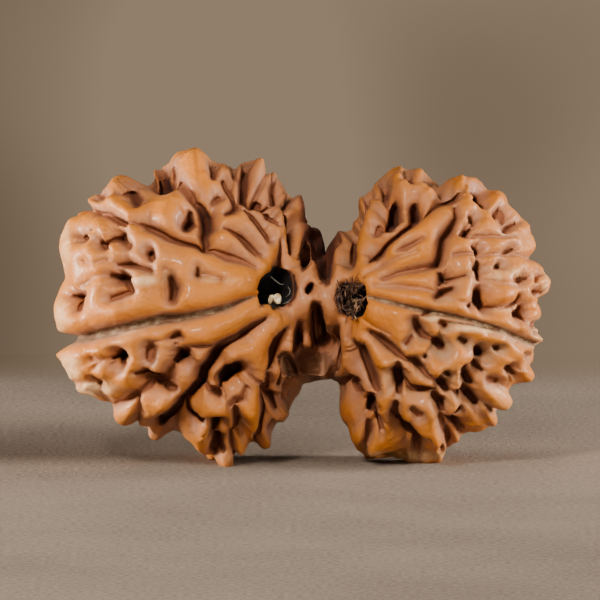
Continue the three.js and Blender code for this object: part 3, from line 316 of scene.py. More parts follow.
cleft = [
    [[335, 240, 3], [328, 256, 4], [325, 270, 4], [324, 281, 3]],
    [[318, 303, 1.5], [318, 315, 3.5], [319, 328, 4], [321, 345, 4]],
]
bridge = [321, 293, 36, 34, 0, 4.0, 3.2]
web = [324, 313, 19, 57, 0, -3, 4]
gaps = [
    [326, 257, 7.5, 27, 2, 8, 9.5],
    [321, 235, 15.5, 15, 0, 6, 8.5],
    [305, 254, 4.5, 16, 3, 6, 7],
    [309, 289, 3, 6.5, 25, 8, 4],
    [318, 329, 6.5, 27, -4, 8, 8.5],
    [298, 336, 4, 16, 3, 8, 5.5],
    [337, 349, 3.5, 21, -3, 8, 6],
]
hollows = [
    [314, 363, 20, 16, 0, 9, 8],
    [290, 367, 8, 14, -25, 9, 8],
]
holes = [
    [280, 287, 15, 19.5, 0, 8, 4.5],
    [268, 296, 7.5, 8, 0, 8.5, 3.5],
    [277, 268, 5, 7, 0, 8, 3.5],
    [349, 299, 13, 15.5, 0, 8, 4.5],
    [355, 309, 6.5, 8.5, 0, 8.5, 3.5],
]
leftFeet = [[-6.2, -3.0], [-7.4, 3.8]]
rightFeet = [[9.4, 0.2], [6.2, 4.2]]


def ballMesh(detail):
    mesh = bmesh.new()
    bmesh.ops.create_icosphere(mesh, subdivisions=detail, radius=1)
    points, faces = editedArrays(mesh)
    return unit(points), faces


def smoothRing(values, halfSpan):
    spans = [np.roll(values, step) for step in range(-halfSpan, halfSpan + 1)]
    return np.mean(spans, axis=0)


def ringValue(values, place):
    low = np.floor(place).astype(int)
    share = place - low
    count = len(values)
    return values[low % count] * (1 - share) + values[(low + 1) % count] * share


def unit(vectors):
    return vectors / np.linalg.norm(vectors, axis=-1, keepdims=True)


# Whole-number draws, so that the hidden side comes out the same everywhere
def makeRandom(state):
    factor, top = 16807, 2147483647
    while True:
        state = state * factor % top
        yield state / top


def squeezed(points):
    return points + (relief["squeeze"] - 1) * np.outer(points @ toViewer, toViewer)


# One stone: a flattened ball about its canal, with the sketched outline and cut grooves
class Stone:
    def __init__(self, plan, side, seed):
        self.plan = plan
        self.side = side
        self.centre = sketchPoint(*plan["centre"])
        right, up = self.offset(plan["frontHole"])
        a = right / plan["poleRadius"]
        b = up / plan["poleRadius"]
        self.axis = a * across + b * upward + math.sqrt(1 - a * a - b * b) * toViewer
        self.outlineRatios = self.measureOutline()
        self.slowRatios = smoothRing(self.outlineRatios, relief["slowHalfSpan"])
        self.random = makeRandom(seed).__next__
        self.waves = self.drawWaves()
        self.grooves = []
        self.knobs = []

    def offset(self, point):
        centre = self.plan["centre"]
        return (point[0] - centre[0]) * sketch["grid"], (centre[1] - point[1]) * sketch["grid"]

    def ballRadius(self, directions):
        along = directions @ self.axis
        poleShare = along ** 2 / self.plan["poleRadius"] ** 2
        return 1 / np.sqrt(poleShare + (1 - along ** 2) / self.plan["middleRadius"] ** 2)

    def measureOutline(self):
        lean = self.axis @ across, self.axis @ upward
        wide = self.plan["middleRadius"]
        flattened = self.plan["poleRadius"] ** 2 - wide ** 2
        narrow = math.sqrt(wide ** 2 + flattened * (lean[0] ** 2 + lean[1] ** 2))
        leanAngle = math.atan2(lean[1], lean[0])
        angles = []
        ratios = []
        for point in self.plan["outline"]:
            right, up = self.offset(point)
            angle = math.atan2(up, right)
            turned = angle - leanAngle
            plain = 1 / math.hypot(math.cos(turned) / narrow, math.sin(turned) / wide)
            angles.append(angle)
            ratios.append(math.hypot(right, up) / plain)
        steps = -math.pi + np.arange(relief["ringSteps"]) * 2 * math.pi / relief["ringSteps"]
        order = np.argsort(angles)
        found = np.interp(steps, np.array(angles)[order], np.array(ratios)[order], period=2 * math.pi)
        return smoothRing(found, 1)

    def baseRadius(self, directions):
        right = directions @ across
        up = directions @ upward
        rim = right ** 2 + up ** 2
        place = (np.arctan2(up, right) + math.pi) * relief["ringSteps"] / 2 / math.pi
        slow = ringValue(self.slowRatios, place)
        sharp = ringValue(self.outlineRatios, place) - slow
        return self.ballRadius(directions) * (1 + (slow - 1) * rim + sharp * rim ** 4)

    # Where the lines of sight through sketch points meet the front of the stone
    def directionsAt(self, points, sink=0.0):
        points = np.array(points, dtype=float)
        right = (points[:, 0] - self.plan["centre"][0]) * sketch["grid"]
        up = (self.plan["centre"][1] - points[:, 1]) * sketch["grid"]
        near = np.full(len(points), 0.7 * self.plan["poleRadius"])
        for step in range(24):
            directions = unit(np.outer(right, across) + np.outer(up, upward) + np.outer(near, toViewer))
            left = (self.baseRadius(directions) - sink) ** 2 - right ** 2 - up ** 2
            near = 0.5 * (near + np.sqrt(np.maximum(left, 0.2)))
        return directions

    def drawWaves(self):
        waves = []
        for index in range(relief["waves"]):
            direction = self.drawDirection()
            pace = 2 * math.pi / (relief["shortestWave"] + relief["waveRange"] * self.random())
            waves.append((direction * pace, 2 * math.pi * self.random()))
        return waves

    def drawDirection(self):
        height = 2 * self.random() - 1
        turn = 2 * math.pi * self.random()
        flat = math.sqrt(1 - height ** 2)
        return np.array([flat * math.cos(turn), flat * math.sin(turn), height])

    def unevenness(self, points):
        return relief["waveHeight"] * sum(np.sin(points @ wave + phase) for wave, phase in self.waves)

    def surfacePoints(self, directions):
        return directions * self.baseRadius(directions)[:, None]

    def addGroove(self, directions, halfWidths, kind, sketched=False):
        points = self.surfacePoints(directions)
        if sketched:
            points = squeezed(points)
        middle = points.mean(axis=0)
        reach = np.linalg.norm(points - middle, axis=1).max() + relief["farthest"]
        last = len(points) - 1
        pairs = [(index, min(index + 1, last)) for index in range(max(last, 1))]
        self.grooves.append({
            "directions": directions, "halfWidths": halfWidths,
            "segments": [(points[a], points[b], halfWidths[a], halfWidths[b]) for a, b in pairs],
            "middle": middle, "reach": reach, "kind": kind, "sketched": sketched,
        })

    def sketchGroove(self, line, kind):
        places = []
        halfWidths = []
        for index, (column, row, halfWidth) in enumerate(line):
            before = line[max(index - 1, 0)]
            length = math.hypot(column - before[0], row - before[1])
            pieces = max(1, math.ceil(length / relief["lineStep"]))
            for share in np.arange(1, pieces + 1) / pieces:
                places.append([before[0] + share * (column - before[0]),
                               before[1] + share * (row - before[1])])
                halfWidths.append((before[2] + share * (halfWidth - before[2])) * sketch["grid"])
        self.addGroove(self.directionsAt(places, relief["sink"]), halfWidths, kind, True)

    def carveFront(self):
        for kind in ("seam", "deep", "medium", "shallow"):
            for line in self.plan[kind]:
                self.sketchGroove(line, kind)
        self.frontCount = len(self.grooves)
        for line in cleft:
            self.sketchGroove(line, "cleft")
        self.sketchGroove(self.plan["mouth"], "mouth")
        for column, row, height in self.plan["knobs"]:
            self.addKnob(self.directionsAt([[column, row]]), height, relief["knobReach"])

    def addKnob(self, directions, height, reach):
        self.knobs.append((self.surfacePoints(directions)[0], height, reach))

    def addFoot(self, foot):
        spot = np.array([foot[0], foot[1], -relief["footPress"]]) - self.centre
        directions = unit(spot)[None, :]
        height = np.linalg.norm(spot) - self.reliefAt(directions)[0][0]
        self.addKnob(directions, height, relief["footReach"])

    # The hidden side repeats its neighbour's ridges, mirrored front to back and turned about the canal
    def carveBack(self, neighbour):
        backPole = -self.axis
        turn = math.radians(self.plan["backTurn"])
        for groove in neighbour.grooves[:neighbour.frontCount]:
            directions = groove["directions"]
            mirrored = directions - 2 * np.outer(directions @ toViewer, toViewer)
            along = np.outer(mirrored @ backPole, backPole)
            turned = (mirrored * math.cos(turn) + np.cross(backPole, mirrored) * math.sin(turn)
                      + along * (1 - math.cos(turn)))
            if (turned @ toViewer < -backFill["mirrorLimit"]).all():
                self.addGroove(turned, groove["halfWidths"], groove["kind"])
        self.addGroove(backPole[None, :], [relief["backMouth"]], "mouth")

    def clearance(self, direction):
        point = self.surfacePoints(direction[None, :])
        starts, ends, startWidths, endWidths, sketched = self.segments
        point = np.where(sketched[:, None], squeezed(point), point)
        run = ends - starts
        squared = np.maximum((run ** 2).sum(axis=1), 1e-12)
        share = np.clip(((point - starts) * run).sum(axis=1) / squared, 0, 1)
        distance = np.linalg.norm(point - starts - share[:, None] * run, axis=1)
        return (distance - relief["widen"] * (startWidths + share * (endWidths - startWidths))).min()

    def gatherSegments(self):
        rows = [(*segment, groove["sketched"]) for groove in self.grooves for segment in groove["segments"]]
        self.segments = [np.array(values) for values in zip(*rows)]

    # Smooth ground that is left behind the rim gets short grooves that run toward the pole
    def fillBack(self):
        self.gatherSegments()
        for index in range(backFill["draws"]):
            start = self.drawDirection()
            bend = math.radians(backFill["bend"]) * (2 * self.random() - 1)
            length = backFill["length"][0] + backFill["length"][1] * self.random() ** 2
            halfWidth = backFill["halfWidth"][0] + backFill["halfWidth"][1] * self.random()
            hidden = start @ toViewer < backFill["limit"]
            outside = start[0] * self.side >= -backFill["jointShare"]
            if hidden and outside and self.clearance(start) > backFill["spacing"]:
                self.addWanderingGroove(start, bend, length, halfWidth)
                self.gatherSegments()

    def addWanderingGroove(self, start, bend, length, halfWidth):
        toPole = unit(self.axis - (self.axis @ start) * start)
        heading = toPole * math.cos(bend) + np.cross(start, toPole) * math.sin(bend)
        directions = [start]
        halfWidths = [halfWidth]
        steps = math.ceil(length / backFill["step"])
        for step in range(1, steps + 1):
            following = unit(start + heading * length * step / steps / self.plan["middleRadius"])
            if self.clearance(following) < backFill["endSpacing"]:
                break
            directions.append(following)
            halfWidths.append(halfWidth * (1 - backFill["taper"] * step / steps))
        self.addGroove(np.array(directions), halfWidths, "deep")

    # For each surface point: distance outside the nearest groove, depth inside it, and how far
    # the ridge has rounded off toward its grooves
    def grooveField(self, points, kinds=None):
        edge = np.full(len(points), 9.0)
        depth = np.zeros(len(points))
        rounding = np.zeros(len(points))
        flatPoints = squeezed(points)
        for groove in self.grooves:
            if kinds and groove["kind"] not in kinds:
                continue
            places = flatPoints if groove["sketched"] else points
            close = np.nonzero(((places - groove["middle"]) ** 2).sum(axis=1) < groove["reach"] ** 2)[0]
            if len(close) == 0:
                continue
            spots = places[close]
            found = np.full(len(close), 9.0)
            width = np.full(len(close), 0.1)
            for start, end, startWidth, endWidth in groove["segments"]:
                run = end - start
                squared = max(run @ run, 1e-12)
                fromStart = spots - start
                share = np.clip(fromStart @ run / squared, 0, 1)
                distance = np.linalg.norm(fromStart - share[:, None] * run, axis=1)
                halfWidth = startWidth + share * (endWidth - startWidth)
                signed = distance - relief["widen"] * halfWidth
                nearer = signed < found
                found = np.where(nearer, signed, found)
                width = np.where(nearer, halfWidth, width)
            inward = np.clip(1 + found / (relief["widen"] * width), 0, 1)
            deepest = relief["cleftDeepest"] if groove["kind"] == "cleft" else relief["deepest"]
            full = np.minimum(steepness[groove["kind"]] * width, deepest)
            rise = (relief["rise"][0] + relief["rise"][1] * width) * strength[groove["kind"]]
            fade = np.exp(-np.maximum(found, 0) / (relief["reach"][0] + relief["reach"][1] * width))
            edge[close] = np.minimum(edge[close], found)
            depth[close] = np.maximum(depth[close], full * (1 - inward ** 4) ** 2)
            rounding[close] += (rise * fade) ** 2
        return edge, depth, np.sqrt(rounding)

    # Radius, drop along the line of sight, and the groove depth and rounding behind them
    def reliefAt(self, directions):
        base = self.baseRadius(directions)
        points = directions * base[:, None]
        edge, depth, rounding = self.grooveField(points)
        facing = directions @ toViewer
        rim = 1 - facing ** 2
        share = np.clip(facing / relief["facing"], 0, 1)
        drop = depth * share ** 2 * (3 - 2 * share)
        swell = relief["swell"] * (1 - 0.6 * rim ** 2)
        radius = base + swell + self.unevenness(points) + drop - depth - rounding
        for spot, height, reach in self.knobs:
            away = ((points - spot) ** 2).sum(axis=1) / reach ** 2
            radius += height * np.exp(-away)
        return radius, drop, depth, rounding

    # Keeps what the finish needs to know of each corner: its depth, its rounding and how far
    # it lies from the seam and the mouth
    def shape(self, ball):
        directions, faces = ball
        radius, drop, depth, rounding = self.reliefAt(directions)
        points = directions * radius[:, None] - np.outer(drop, toViewer) + self.centre
        spots = self.surfacePoints(directions)
        seamEdge = self.grooveField(spots, ("seam",))[0]
        mouthEdge = self.grooveField(spots, ("mouth",))[0]
        self.shaped = points, np.stack([depth, rounding, seamEdge, mouthEdge], axis=1)
        return points, faces


def newObject(name, points, faces):
    mesh = bpy.data.meshes.new(name)
    mesh.from_pydata(points.tolist(), [], faces.tolist())
    mesh.update()
    made = bpy.data.objects.new(name, mesh)
    bpy.context.scene.collection.objects.link(made)
    return made


def smoothWith(made, material):
    made.data.polygons.foreach_set("use_smooth", [True] * len(made.data.polygons))
    made.data.materials.append(material)


def dropObject(gone):
    mesh = gone.data
    bpy.data.objects.remove(gone)
    bpy.data.meshes.remove(mesh)


# The modifiers' result takes the place of the object's mesh
def settle(made):
    shaped = made.evaluated_get(bpy.context.evaluated_depsgraph_get())
    mesh = bpy.data.meshes.new_from_object(shaped)
    made.modifiers.clear()
    old = made.data
    made.data = mesh
    bpy.data.meshes.remove(old)


def combine(made, others, operation):
    for other in others:
        step = made.modifiers.new(operation, "BOOLEAN")
        step.operation = operation
        step.solver = "MANIFOLD"
        step.object = other
    settle(made)
    for other in others:
        dropObject(other)


def meshArrays(mesh):
    points = np.empty(len(mesh.vertices) * 3)
    mesh.vertices.foreach_get("co", points)
    corners = np.empty(len(mesh.loops), dtype=int)
    mesh.loops.foreach_get("vertex_index", corners)
    return points.reshape(-1, 3), corners.reshape(-1, 3)


def editedArrays(mesh):
    data = bpy.data.meshes.new("edited")
    mesh.to_mesh(data)
    mesh.free()
    arrays = meshArrays(data)
    bpy.data.meshes.remove(data)
    return arrays


def rod(name, start, end, radius):
    mesh = bmesh.new()
    bmesh.ops.create_cone(mesh, cap_ends=True, segments=24, radius1=radius, radius2=radius,
                          depth=np.linalg.norm(end - start))
    bmesh.ops.triangulate(mesh, faces=mesh.faces)
    turn = Vector((0, 0, 1)).rotation_difference(Vector(end - start)).to_matrix()
    for corner in mesh.verts:
        corner.co = turn @ corner.co + Vector((start + end) / 2)
    return newObject(name, *editedArrays(mesh))


def block(name, low, high):
    mesh = bmesh.new()
    bmesh.ops.create_cube(mesh, size=1)
    bmesh.ops.triangulate(mesh, faces=mesh.faces)
    for corner in mesh.verts:
        corner.co = [low[i] + (high[i] - low[i]) * (corner.co[i] + 0.5) for i in range(3)]
    return newObject(name, *editedArrays(mesh))


# Keeps the largest connected shell; pockets sealed inside the joint are dropped
def mainShell(points, faces):
    label = np.arange(len(points))
    pairs = np.vstack([faces[:, :2], faces[:, 1:]])
    while True:
        low = np.minimum(label[pairs[:, 0]], label[pairs[:, 1]])
        fresh = label.copy()
        np.minimum.at(fresh, pairs[:, 0], low)
        np.minimum.at(fresh, pairs[:, 1], low)
        fresh = fresh[fresh]
        if (fresh == label).all():
            break
        label = fresh
    names, counts = np.unique(label[faces[:, 0]], return_counts=True)
    kept = faces[label[faces[:, 0]] == names[counts.argmax()]]
    used, renumbered = np.unique(kept, return_inverse=True)
    return points[used], renumbered.reshape(-1, 3)


seedShape = {
    "detail": 8,               # ball subdivisions
    "triangles": 196000,
    "crestTurns": 24,          # rounds of smoothing that a ridge top is measured against
    "jointTurns": 10,          # rounds of smoothing of the joint's cut edges
    "leftSeed": 4021,
    "rightSeed": 9177,
}


# Round across the line of sight, and blunt along it
def lensNorm(places):
    return (np.hypot(places[:, 0], places[:, 1]) ** 4 + places[:, 2] ** 4) ** 0.25


# A lens of the joint: its centre and its three half axes
def makeLens(values):
    column, row, halfWidth, halfHeight, lean, near, halfDepth = values
    turn = math.radians(lean)
    axes = np.stack([
        (math.cos(turn) * across - math.sin(turn) * upward) * halfWidth * sketch["grid"],
        (math.sin(turn) * across + math.cos(turn) * upward) * halfHeight * sketch["grid"],
        toViewer * halfDepth,
    ])
    return sketchPoint(column, row, near), axes


def lensMesh(name, values, ball):
    centre, axes = makeLens(values)
    directions, faces = ball
    column, row = values[:2]
    lumps = (np.sin(6 * directions[:, 0] + column) + np.sin(7 * directions[:, 1] + row)
             + np.sin(9 * directions[:, 2] + column + row))
    if np.linalg.det(axes) < 0:
        faces = faces[:, ::-1]
    reach = (1 + 0.05 * lumps) / lensNorm(directions)
    return newObject(name, centre + (directions * reach[:, None]) @ axes, faces)


# Below one inside the lens, above one outside
def lensPlace(points, values):
    centre, axes = makeLens(values)
    lengths = np.linalg.norm(axes, axis=1)
    return lensNorm((points - centre) @ (axes / lengths[:, None] ** 2).T)


def growStones():
    left = Stone(leftStone, -1, seedShape["leftSeed"])
    right = Stone(rightStone, 1, seedShape["rightSeed"])
    left.carveFront()
    right.carveFront()
    left.carveBack(right)
    right.carveBack(left)
    left.fillBack()
    right.fillBack()
    for stone, feet in ((left, leftFeet), (right, rightFeet)):
        for foot in feet:
            stone.addFoot(foot)
    return left, right


def buildShell(left, right):
    ball = ballMesh(seedShape["detail"] - (0))
    shell = newObject("seed_shell", *left.shape(ball))
    other = newObject("right_stone", *right.shape(ball))
    lensBall = ballMesh(5)
    combine(shell, [other, lensMesh("bridge", bridge, lensBall), lensMesh("web", web, lensBall)], "UNION")
    cutters = [lensMesh("gap", values, lensBall) for values in gaps + hollows + holes]
    cutters.append(block("ground_cut", (-40, -40, -20), (40, 40, 0)))
    for stone in (left, right):
        reach = stone.axis * 2 * stone.plan["poleRadius"]
        ends = stone.centre - reach, stone.centre + reach
        cutters.append(rod("canal_cut", *ends, relief["canalRadius"]))
    combine(shell, cutters, "DIFFERENCE")
    print("joined shell:", len(shell.data.polygons), "faces")
    shell.modifiers.new("triangles", "TRIANGULATE")
    settle(shell)
    thinner = shell.modifiers.new("thin", "DECIMATE")
    thinner.ratio = min(1, seedShape["triangles"] / len(shell.data.polygons))
    settle(shell)
    points, faces = mainShell(*meshArrays(shell.data))
    dropObject(shell)
    print("kept shell:", len(faces), "faces")
    return softenJoint(points, faces), faces


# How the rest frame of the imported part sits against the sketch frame
def restShift(points):
    low = points.min(axis=0)
    high = points.max(axis=0)
    cadLow, cadHigh = (np.array(corner) / millimetre for corner in cadBox)
    middle = (cadLow + cadHigh) / 2 - (low + high) / 2
    return np.array([middle[0], middle[1], 0.0])


# Shader sockets as numbers: operators add Math nodes, and colours use mix
class Value:
    def __init__(self, tree, socket):
        self.tree = tree
        self.socket = socket

    def add(self, kind, settings, inputs):
        made = self.tree.nodes.new(kind)
        for name, setting in settings.items():
            setattr(made, name, setting)
        for name, given in inputs.items():
            if isinstance(given, Value):
                self.tree.links.new(given.socket, made.inputs[name])
            else:
                made.inputs[name].default_value = given
        return Value(self.tree, made.outputs[0])

    def math(self, operation, first, second=0.0, clamp=False):
        settings = {"operation": operation, "use_clamp": clamp}
        return self.add("ShaderNodeMath", settings, {0: first, 1: second})

    def __add__(self, other):
        return self.math("ADD", self, other)

    def __radd__(self, other):
        return self.math("ADD", other, self)

    def __sub__(self, other):
        return self.math("SUBTRACT", self, other)

    def __rsub__(self, other):
        return self.math("SUBTRACT", other, self)

    def __mul__(self, other):
        return self.math("MULTIPLY", self, other)

    def __rmul__(self, other):
        return self.math("MULTIPLY", other, self)

    def clamped(self):
        return self.math("ADD", self, 0.0, True)

    def between(self, low, high):
        return self.add("ShaderNodeMapRange", {"interpolation_type": "SMOOTHSTEP"},
                        {"Value": self, "From Min": low, "From Max": high})

    def noise(self, scale, detail, roughness=0.5):
        return self.add("ShaderNodeTexNoise", {}, {
            "Vector": self, "Scale": scale, "Detail": detail, "Roughness": roughness})

    def bump(self, shape, height):
        strength, distance = shape
        return self.add("ShaderNodeBump", {}, {
            "Strength": strength, "Distance": distance, "Height": height})

    def mix(self, first, second):
        made = self.tree.nodes.new("ShaderNodeMix")
        made.data_type = "RGBA"
        self.tree.links.new(self.socket, made.inputs[0])
        for place, colour in ((6, first), (7, second)):
            if isinstance(colour, Value):
                self.tree.links.new(colour.socket, made.inputs[place])
            else:
                made.inputs[place].default_value = (*colour, 1)
        return Value(self.tree, made.outputs[2])


# A new material, its shader and the place on the object
def startMaterial(name, settings):
    made = bpy.data.materials.new(name)
    made.use_nodes = True
    tree = made.node_tree
    shader = tree.nodes["Principled BSDF"]
    for socket, setting in settings.items():
        shader.inputs[socket].default_value = setting
    return made, shader, Value(tree, tree.nodes.new("ShaderNodeTexCoord").outputs["Object"])


def feed(shader, values):
    for name, value in values.items():
        value.tree.links.new(value.socket, shader.inputs[name])


def readMask(tree, name):
    made = tree.nodes.new("ShaderNodeAttribute")
    made.attribute_name = name
    return Value(tree, made.outputs["Fac"])


shellFinish = {
    "crown": (0.46, 0.140, 0.008),      # waxy orange ridge tops
    "bare": (0.39, 0.153, 0.056),       # pinkish tan sides
    "flank": (0.315, 0.130, 0.066),     # rosy brown where the ridges round off, a little darker as painted shade
    "deepFlankStainAndShade": (0.18, 0.052, 0.019),  # brown lower sides and hollows: stain and painted shade
    "edge": (0.70, 0.44, 0.22),         # pale worn edges and dried skin, and painted rim light on the lower and outer side edges
    # groove walls: stain, darkened as painted shade
    "grooveWallStainAndShade": (0.24, 0.078, 0.030),
    "groove": (0.055, 0.011, 0.003),    # stained groove floors, darkened further as painted shade
    "seam": (0.085, 0.050, 0.024), "seamCrust": (0.27, 0.20, 0.115),
    "rosy": (0.315, 0.145, 0.083), "amber": (0.50, 0.140, 0.008),
    # the joint's rear wall: dark folds, painted shade in the recess between the stones, and paler fold
    # edges
    "wallFoldShade": (0.115, 0.043, 0.018), "foldEdge": (0.30, 0.145, 0.075),
    "dust": (0.34, 0.235, 0.125),
    # near black painted at the canals' mouths
    "mouthBlack": (0.003, 0.002, 0.0015),
    "roughness": 0.54, "coat": 0.08,
    # noise sizes: scale, detail, roughness
    "broad": (240, 3, 0.55), "ripple": (620, 2, 0.5), "fine": (1500, 4, 0.6), "micro": (5200, 3, 0.6),
    "folds": {"Scale": 110, "Distortion": 5, "Detail": 2, "Detail Scale": 2.0},
    "bump": (0.6, 0.0004),              # strength and distance
}

# Places on the sketch that differ from the rest: [column, row, half width, half height, strength]
spotLists = {
    # pale: worn edges and dried skin; the spots along the lower and outer side edges are painted rim light
    "pale": [
        [66, 245, 5, 30, 0.6], [62, 318, 7, 18, 0.6], [70, 368, 12, 14, 0.8], [96, 388, 20, 7, 0.8],
        [146, 281, 13, 5, 0.8], [220, 280, 17, 3, 0.7], [432, 318, 9, 3, 0.8], [474, 328, 26, 4, 0.9],
        [450, 372, 10, 9, 0.3], [494, 276, 7, 6, 0.6], [512, 273, 8, 5, 0.5], [388, 375, 6, 12, 0.25],
        [545, 282, 4, 18, 0.5], [538, 336, 6, 20, 0.5], [402, 456, 46, 5, 0.8], [118, 331, 24, 3, 0.5],
        [498, 308, 14, 4, 0.5], [250, 455, 30, 5, 0.35], [505, 405, 12, 16, 0.3], [440, 300, 12, 4, 0.3],
    ],
    "dusty": [
        [470, 342, 62, 22, 0.9], [405, 340, 26, 26, 0.5], [435, 388, 50, 26, 0.6], [392, 302, 26, 7, 0.5],
        [484, 392, 26, 20, 0.5], [500, 268, 34, 10, 0.4], [150, 276, 22, 9, 0.6], [215, 277, 26, 8, 0.4],
        [350, 262, 10, 26, 0.4], [385, 440, 34, 12, 0.3], [100, 380, 34, 14, 0.4],
    ],
    "rosy": [
        [320, 295, 34, 56, 1.0], [270, 190, 36, 46, 0.7], [250, 240, 22, 26, 0.5], [160, 250, 26, 12, 0.5],
        [130, 285, 34, 12, 0.35], [225, 165, 26, 18, 0.5], [490, 255, 46, 40, 0.35],
        [400, 225, 26, 20, 0.3], [170, 365, 24, 16, 0.5], [350, 350, 16, 36, 0.6], [285, 375, 22, 46, 0.6],
        [215, 365, 16, 22, 0.3],
    ],
    "amber": [
        [194, 170, 16, 14, 0.9], [172, 208, 20, 9, 0.8], [128, 209, 18, 7, 0.7], [88, 362, 18, 22, 0.7],
        [243, 404, 12, 26, 0.8], [105, 314, 26, 10, 0.8], [507, 296, 12, 7, 1.0], [532, 311, 8, 7, 1.0],
        [493, 198, 11, 9, 1.0], [425, 195, 12, 8, 0.9], [397, 187, 9, 8, 0.7], [425, 222, 14, 16, 0.6],
        [455, 352, 10, 6, 0.8], [433, 367, 8, 6, 0.8], [452, 382, 12, 8, 0.8], [433, 440, 12, 10, 0.8],
        [375, 325, 26, 14, 0.5], [350, 405, 10, 16, 0.6], [200, 232, 36, 8, 0.6], [205, 335, 30, 9, 0.6],
        [265, 350, 14, 20, 0.6], [410, 298, 26, 6, 0.6], [360, 365, 10, 22, 0.5], [470, 245, 24, 5, 0.5],
    ],
}

# Which corners count as the joint's cut faces, and how deep they are taken to be so that they are painted
# dark as painted shade, in lens sizes, mm and sketch squares
jointLook = {
    "cutReach": 1.12, "bridgeReach": 1.15, "offStone": 0.3, "bridgeOffStone": 0.2,
    "hollowShadeDepth": 0.28, "cutShadeDepth": 1.5,
    "middleColumn": 322, "columns": 18, "shadeRow": 287, "shadeRows": 14, "wallRow": 350, "wallRows": 10,
    "softFrom": 1.35, "softOver": 0.15,
}

# What each corner of the shell knows, for the shader
maskNames = ("depth", "rounding", "crest", "seam", "mouth", "pale", "rosy", "amber", "dusty", "wall")


def shellMaterial():
    made, shader, place = startMaterial("seed shell", {"Specular IOR Level": 0.3, "Coat Roughness": 0.12})
    finish = shellFinish
    depth, rounding, crest, seam, mouth, pale, rosy, amber, dusty, rearWall = (
        readMask(place.tree, name) for name in maskNames)
    broad, ripple, fine, micro = (
        place.noise(*finish[name]) for name in ("broad", "ripple", "fine", "micro"))
    onTop = (1 - rounding.between(0.1, 0.6)) * 0.7 + crest.between(0.05, 0.3) * 0.4 + (broad - 0.5) * 2.2
    dust = rounding.between(0.3, 0.9) + crest.between(0.05, -0.25) * 0.5
    # groove walls and floors are painted darker with depth: stain and painted shade
    wall = (depth.between(0.0, 0.55) * (1 - seam * 0.75)).clamped()
    stainAndShade = (depth.between(0.4, 1.9) * (1 - seam * 0.75)).clamped()
    crust = fine.between(0.42, 0.62).mix(finish["seam"], finish["seamCrust"])
    folds = place.add("ShaderNodeTexWave", {"bands_direction": "X"}, {"Vector": place, **finish["folds"]})
    foldColour = folds.between(0.75, 1.0).mix(finish["wallFoldShade"], finish["foldEdge"])
    # how much of each colour covers those above it
    layers = [
        (onTop, finish["crown"]),
        (rosy * (0.6 + (broad - 0.5) * 1.2), finish["rosy"]),
        (amber * (1.1 - rounding.between(0.3, 0.9)), finish["amber"]),
        # flanks and concave hollows are painted darker toward the grooves, painted shade over the seed's
        # own rosy and brown tones; the fine specks further down are random tone
        (rounding.between(0.35, 1.1) * 0.85 + (0.5 - broad) * 0.7, finish["flank"]),
        (rounding.between(1.0, 1.9) * 0.7 + crest.between(0.0, -0.35) * 0.5, finish["deepFlankStainAndShade"]),
        (dusty * dust * (0.1 + fine * 0.7), finish["dust"]),
        # pale edges: dried skin and wear, partly painted rim light
        (pale * (fine.between(0.35, 0.6) * 0.6 + crest.between(0.0, 0.2) * 0.5), finish["edge"]),
        (crest.between(0.05, 0.4) * (0.55 - rosy * 0.3 - pale * 0.5), finish["crown"]),
        (fine.between(0.6, 0.78) * 0.22, finish["deepFlankStainAndShade"]),
        (seam * 1.1 + (fine - 0.5) * seam, crust),
        (wall, finish["grooveWallStainAndShade"]),
        (stainAndShade, finish["groove"]),
        # rear wall of the joint: painted shade in the recess, with paler fold edges
        (rearWall * 0.9, foldColour),
        (mouth, finish["mouthBlack"]),
    ]
    colour = finish["bare"]
    for amount, cover in layers:
        colour = amount.clamped().mix(colour, cover)
    height = ripple * 0.9 + fine * 0.5 + micro * (0.16 + seam * 0.3) + rearWall * folds * 1.6
    rough = finish["roughness"] + (fine - 0.5) * 0.3 + wall * 0.25 + stainAndShade * 0.25 + seam * 0.3
    feed(shader, {
        "Base Color": colour,
        "Roughness": rough.clamped(),
        "Coat Weight": ((1 - wall) * finish["coat"] * (1 - seam)).clamped(),
        "Normal": place.bump(finish["bump"], height),
    })
    return made


# For each corner of the shell: how far it is from the uncut stones, and what they know there
def shellMasks(points, left, right):
    places = np.vstack([left.shaped[0], right.shaped[0]])
    known = np.vstack([left.shaped[1], right.shaped[1]])
    tree = KDTree(len(places))
    for index, place in enumerate(places.tolist()):
        tree.insert(place, index)
    tree.balance()
    found = [tree.find(point)[1:] for point in points.tolist()]
    nearest, miss = (np.array(column) for column in zip(*found))
    return (miss, *known[nearest].T)


# Moves each corner toward the middle of its neighbours, over and over
def relax(points, faces, turns, share=1.0):
    count = len(points)
    pairs = np.vstack([faces[:, [0, 1]], faces[:, [1, 2]], faces[:, [2, 0]]])
    shared = np.bincount(pairs[:, 0], minlength=count)
    for turn in range(turns):
        middles = np.stack([np.bincount(pairs[:, 0], points[pairs[:, 1], axis], count) / shared
                            for axis in range(3)], axis=1)
        points = points + share * (middles - points)
    return points


def cornerNormals(points, faces):
    sides = points[faces]
    flats = np.cross(sides[:, 1] - sides[:, 0], sides[:, 2] - sides[:, 0])
    return unit(np.stack([sum(np.bincount(faces[:, k], flats[:, axis], len(points)) for k in range(3))
                          for axis in range(3)], axis=1))


# How far each corner stands out of its smoothed surroundings, in mm
def crestHeights(points, faces):
    smooth = relax(points, faces, seedShape["crestTurns"])
    return ((points - smooth) * cornerNormals(points, faces)).sum(axis=1)


# Distance-like measure of the joint's cuts and its bridge: one on their surface
def jointPlace(points, lenses):
    return np.min([lensPlace(points, values) for values in lenses], axis=0)


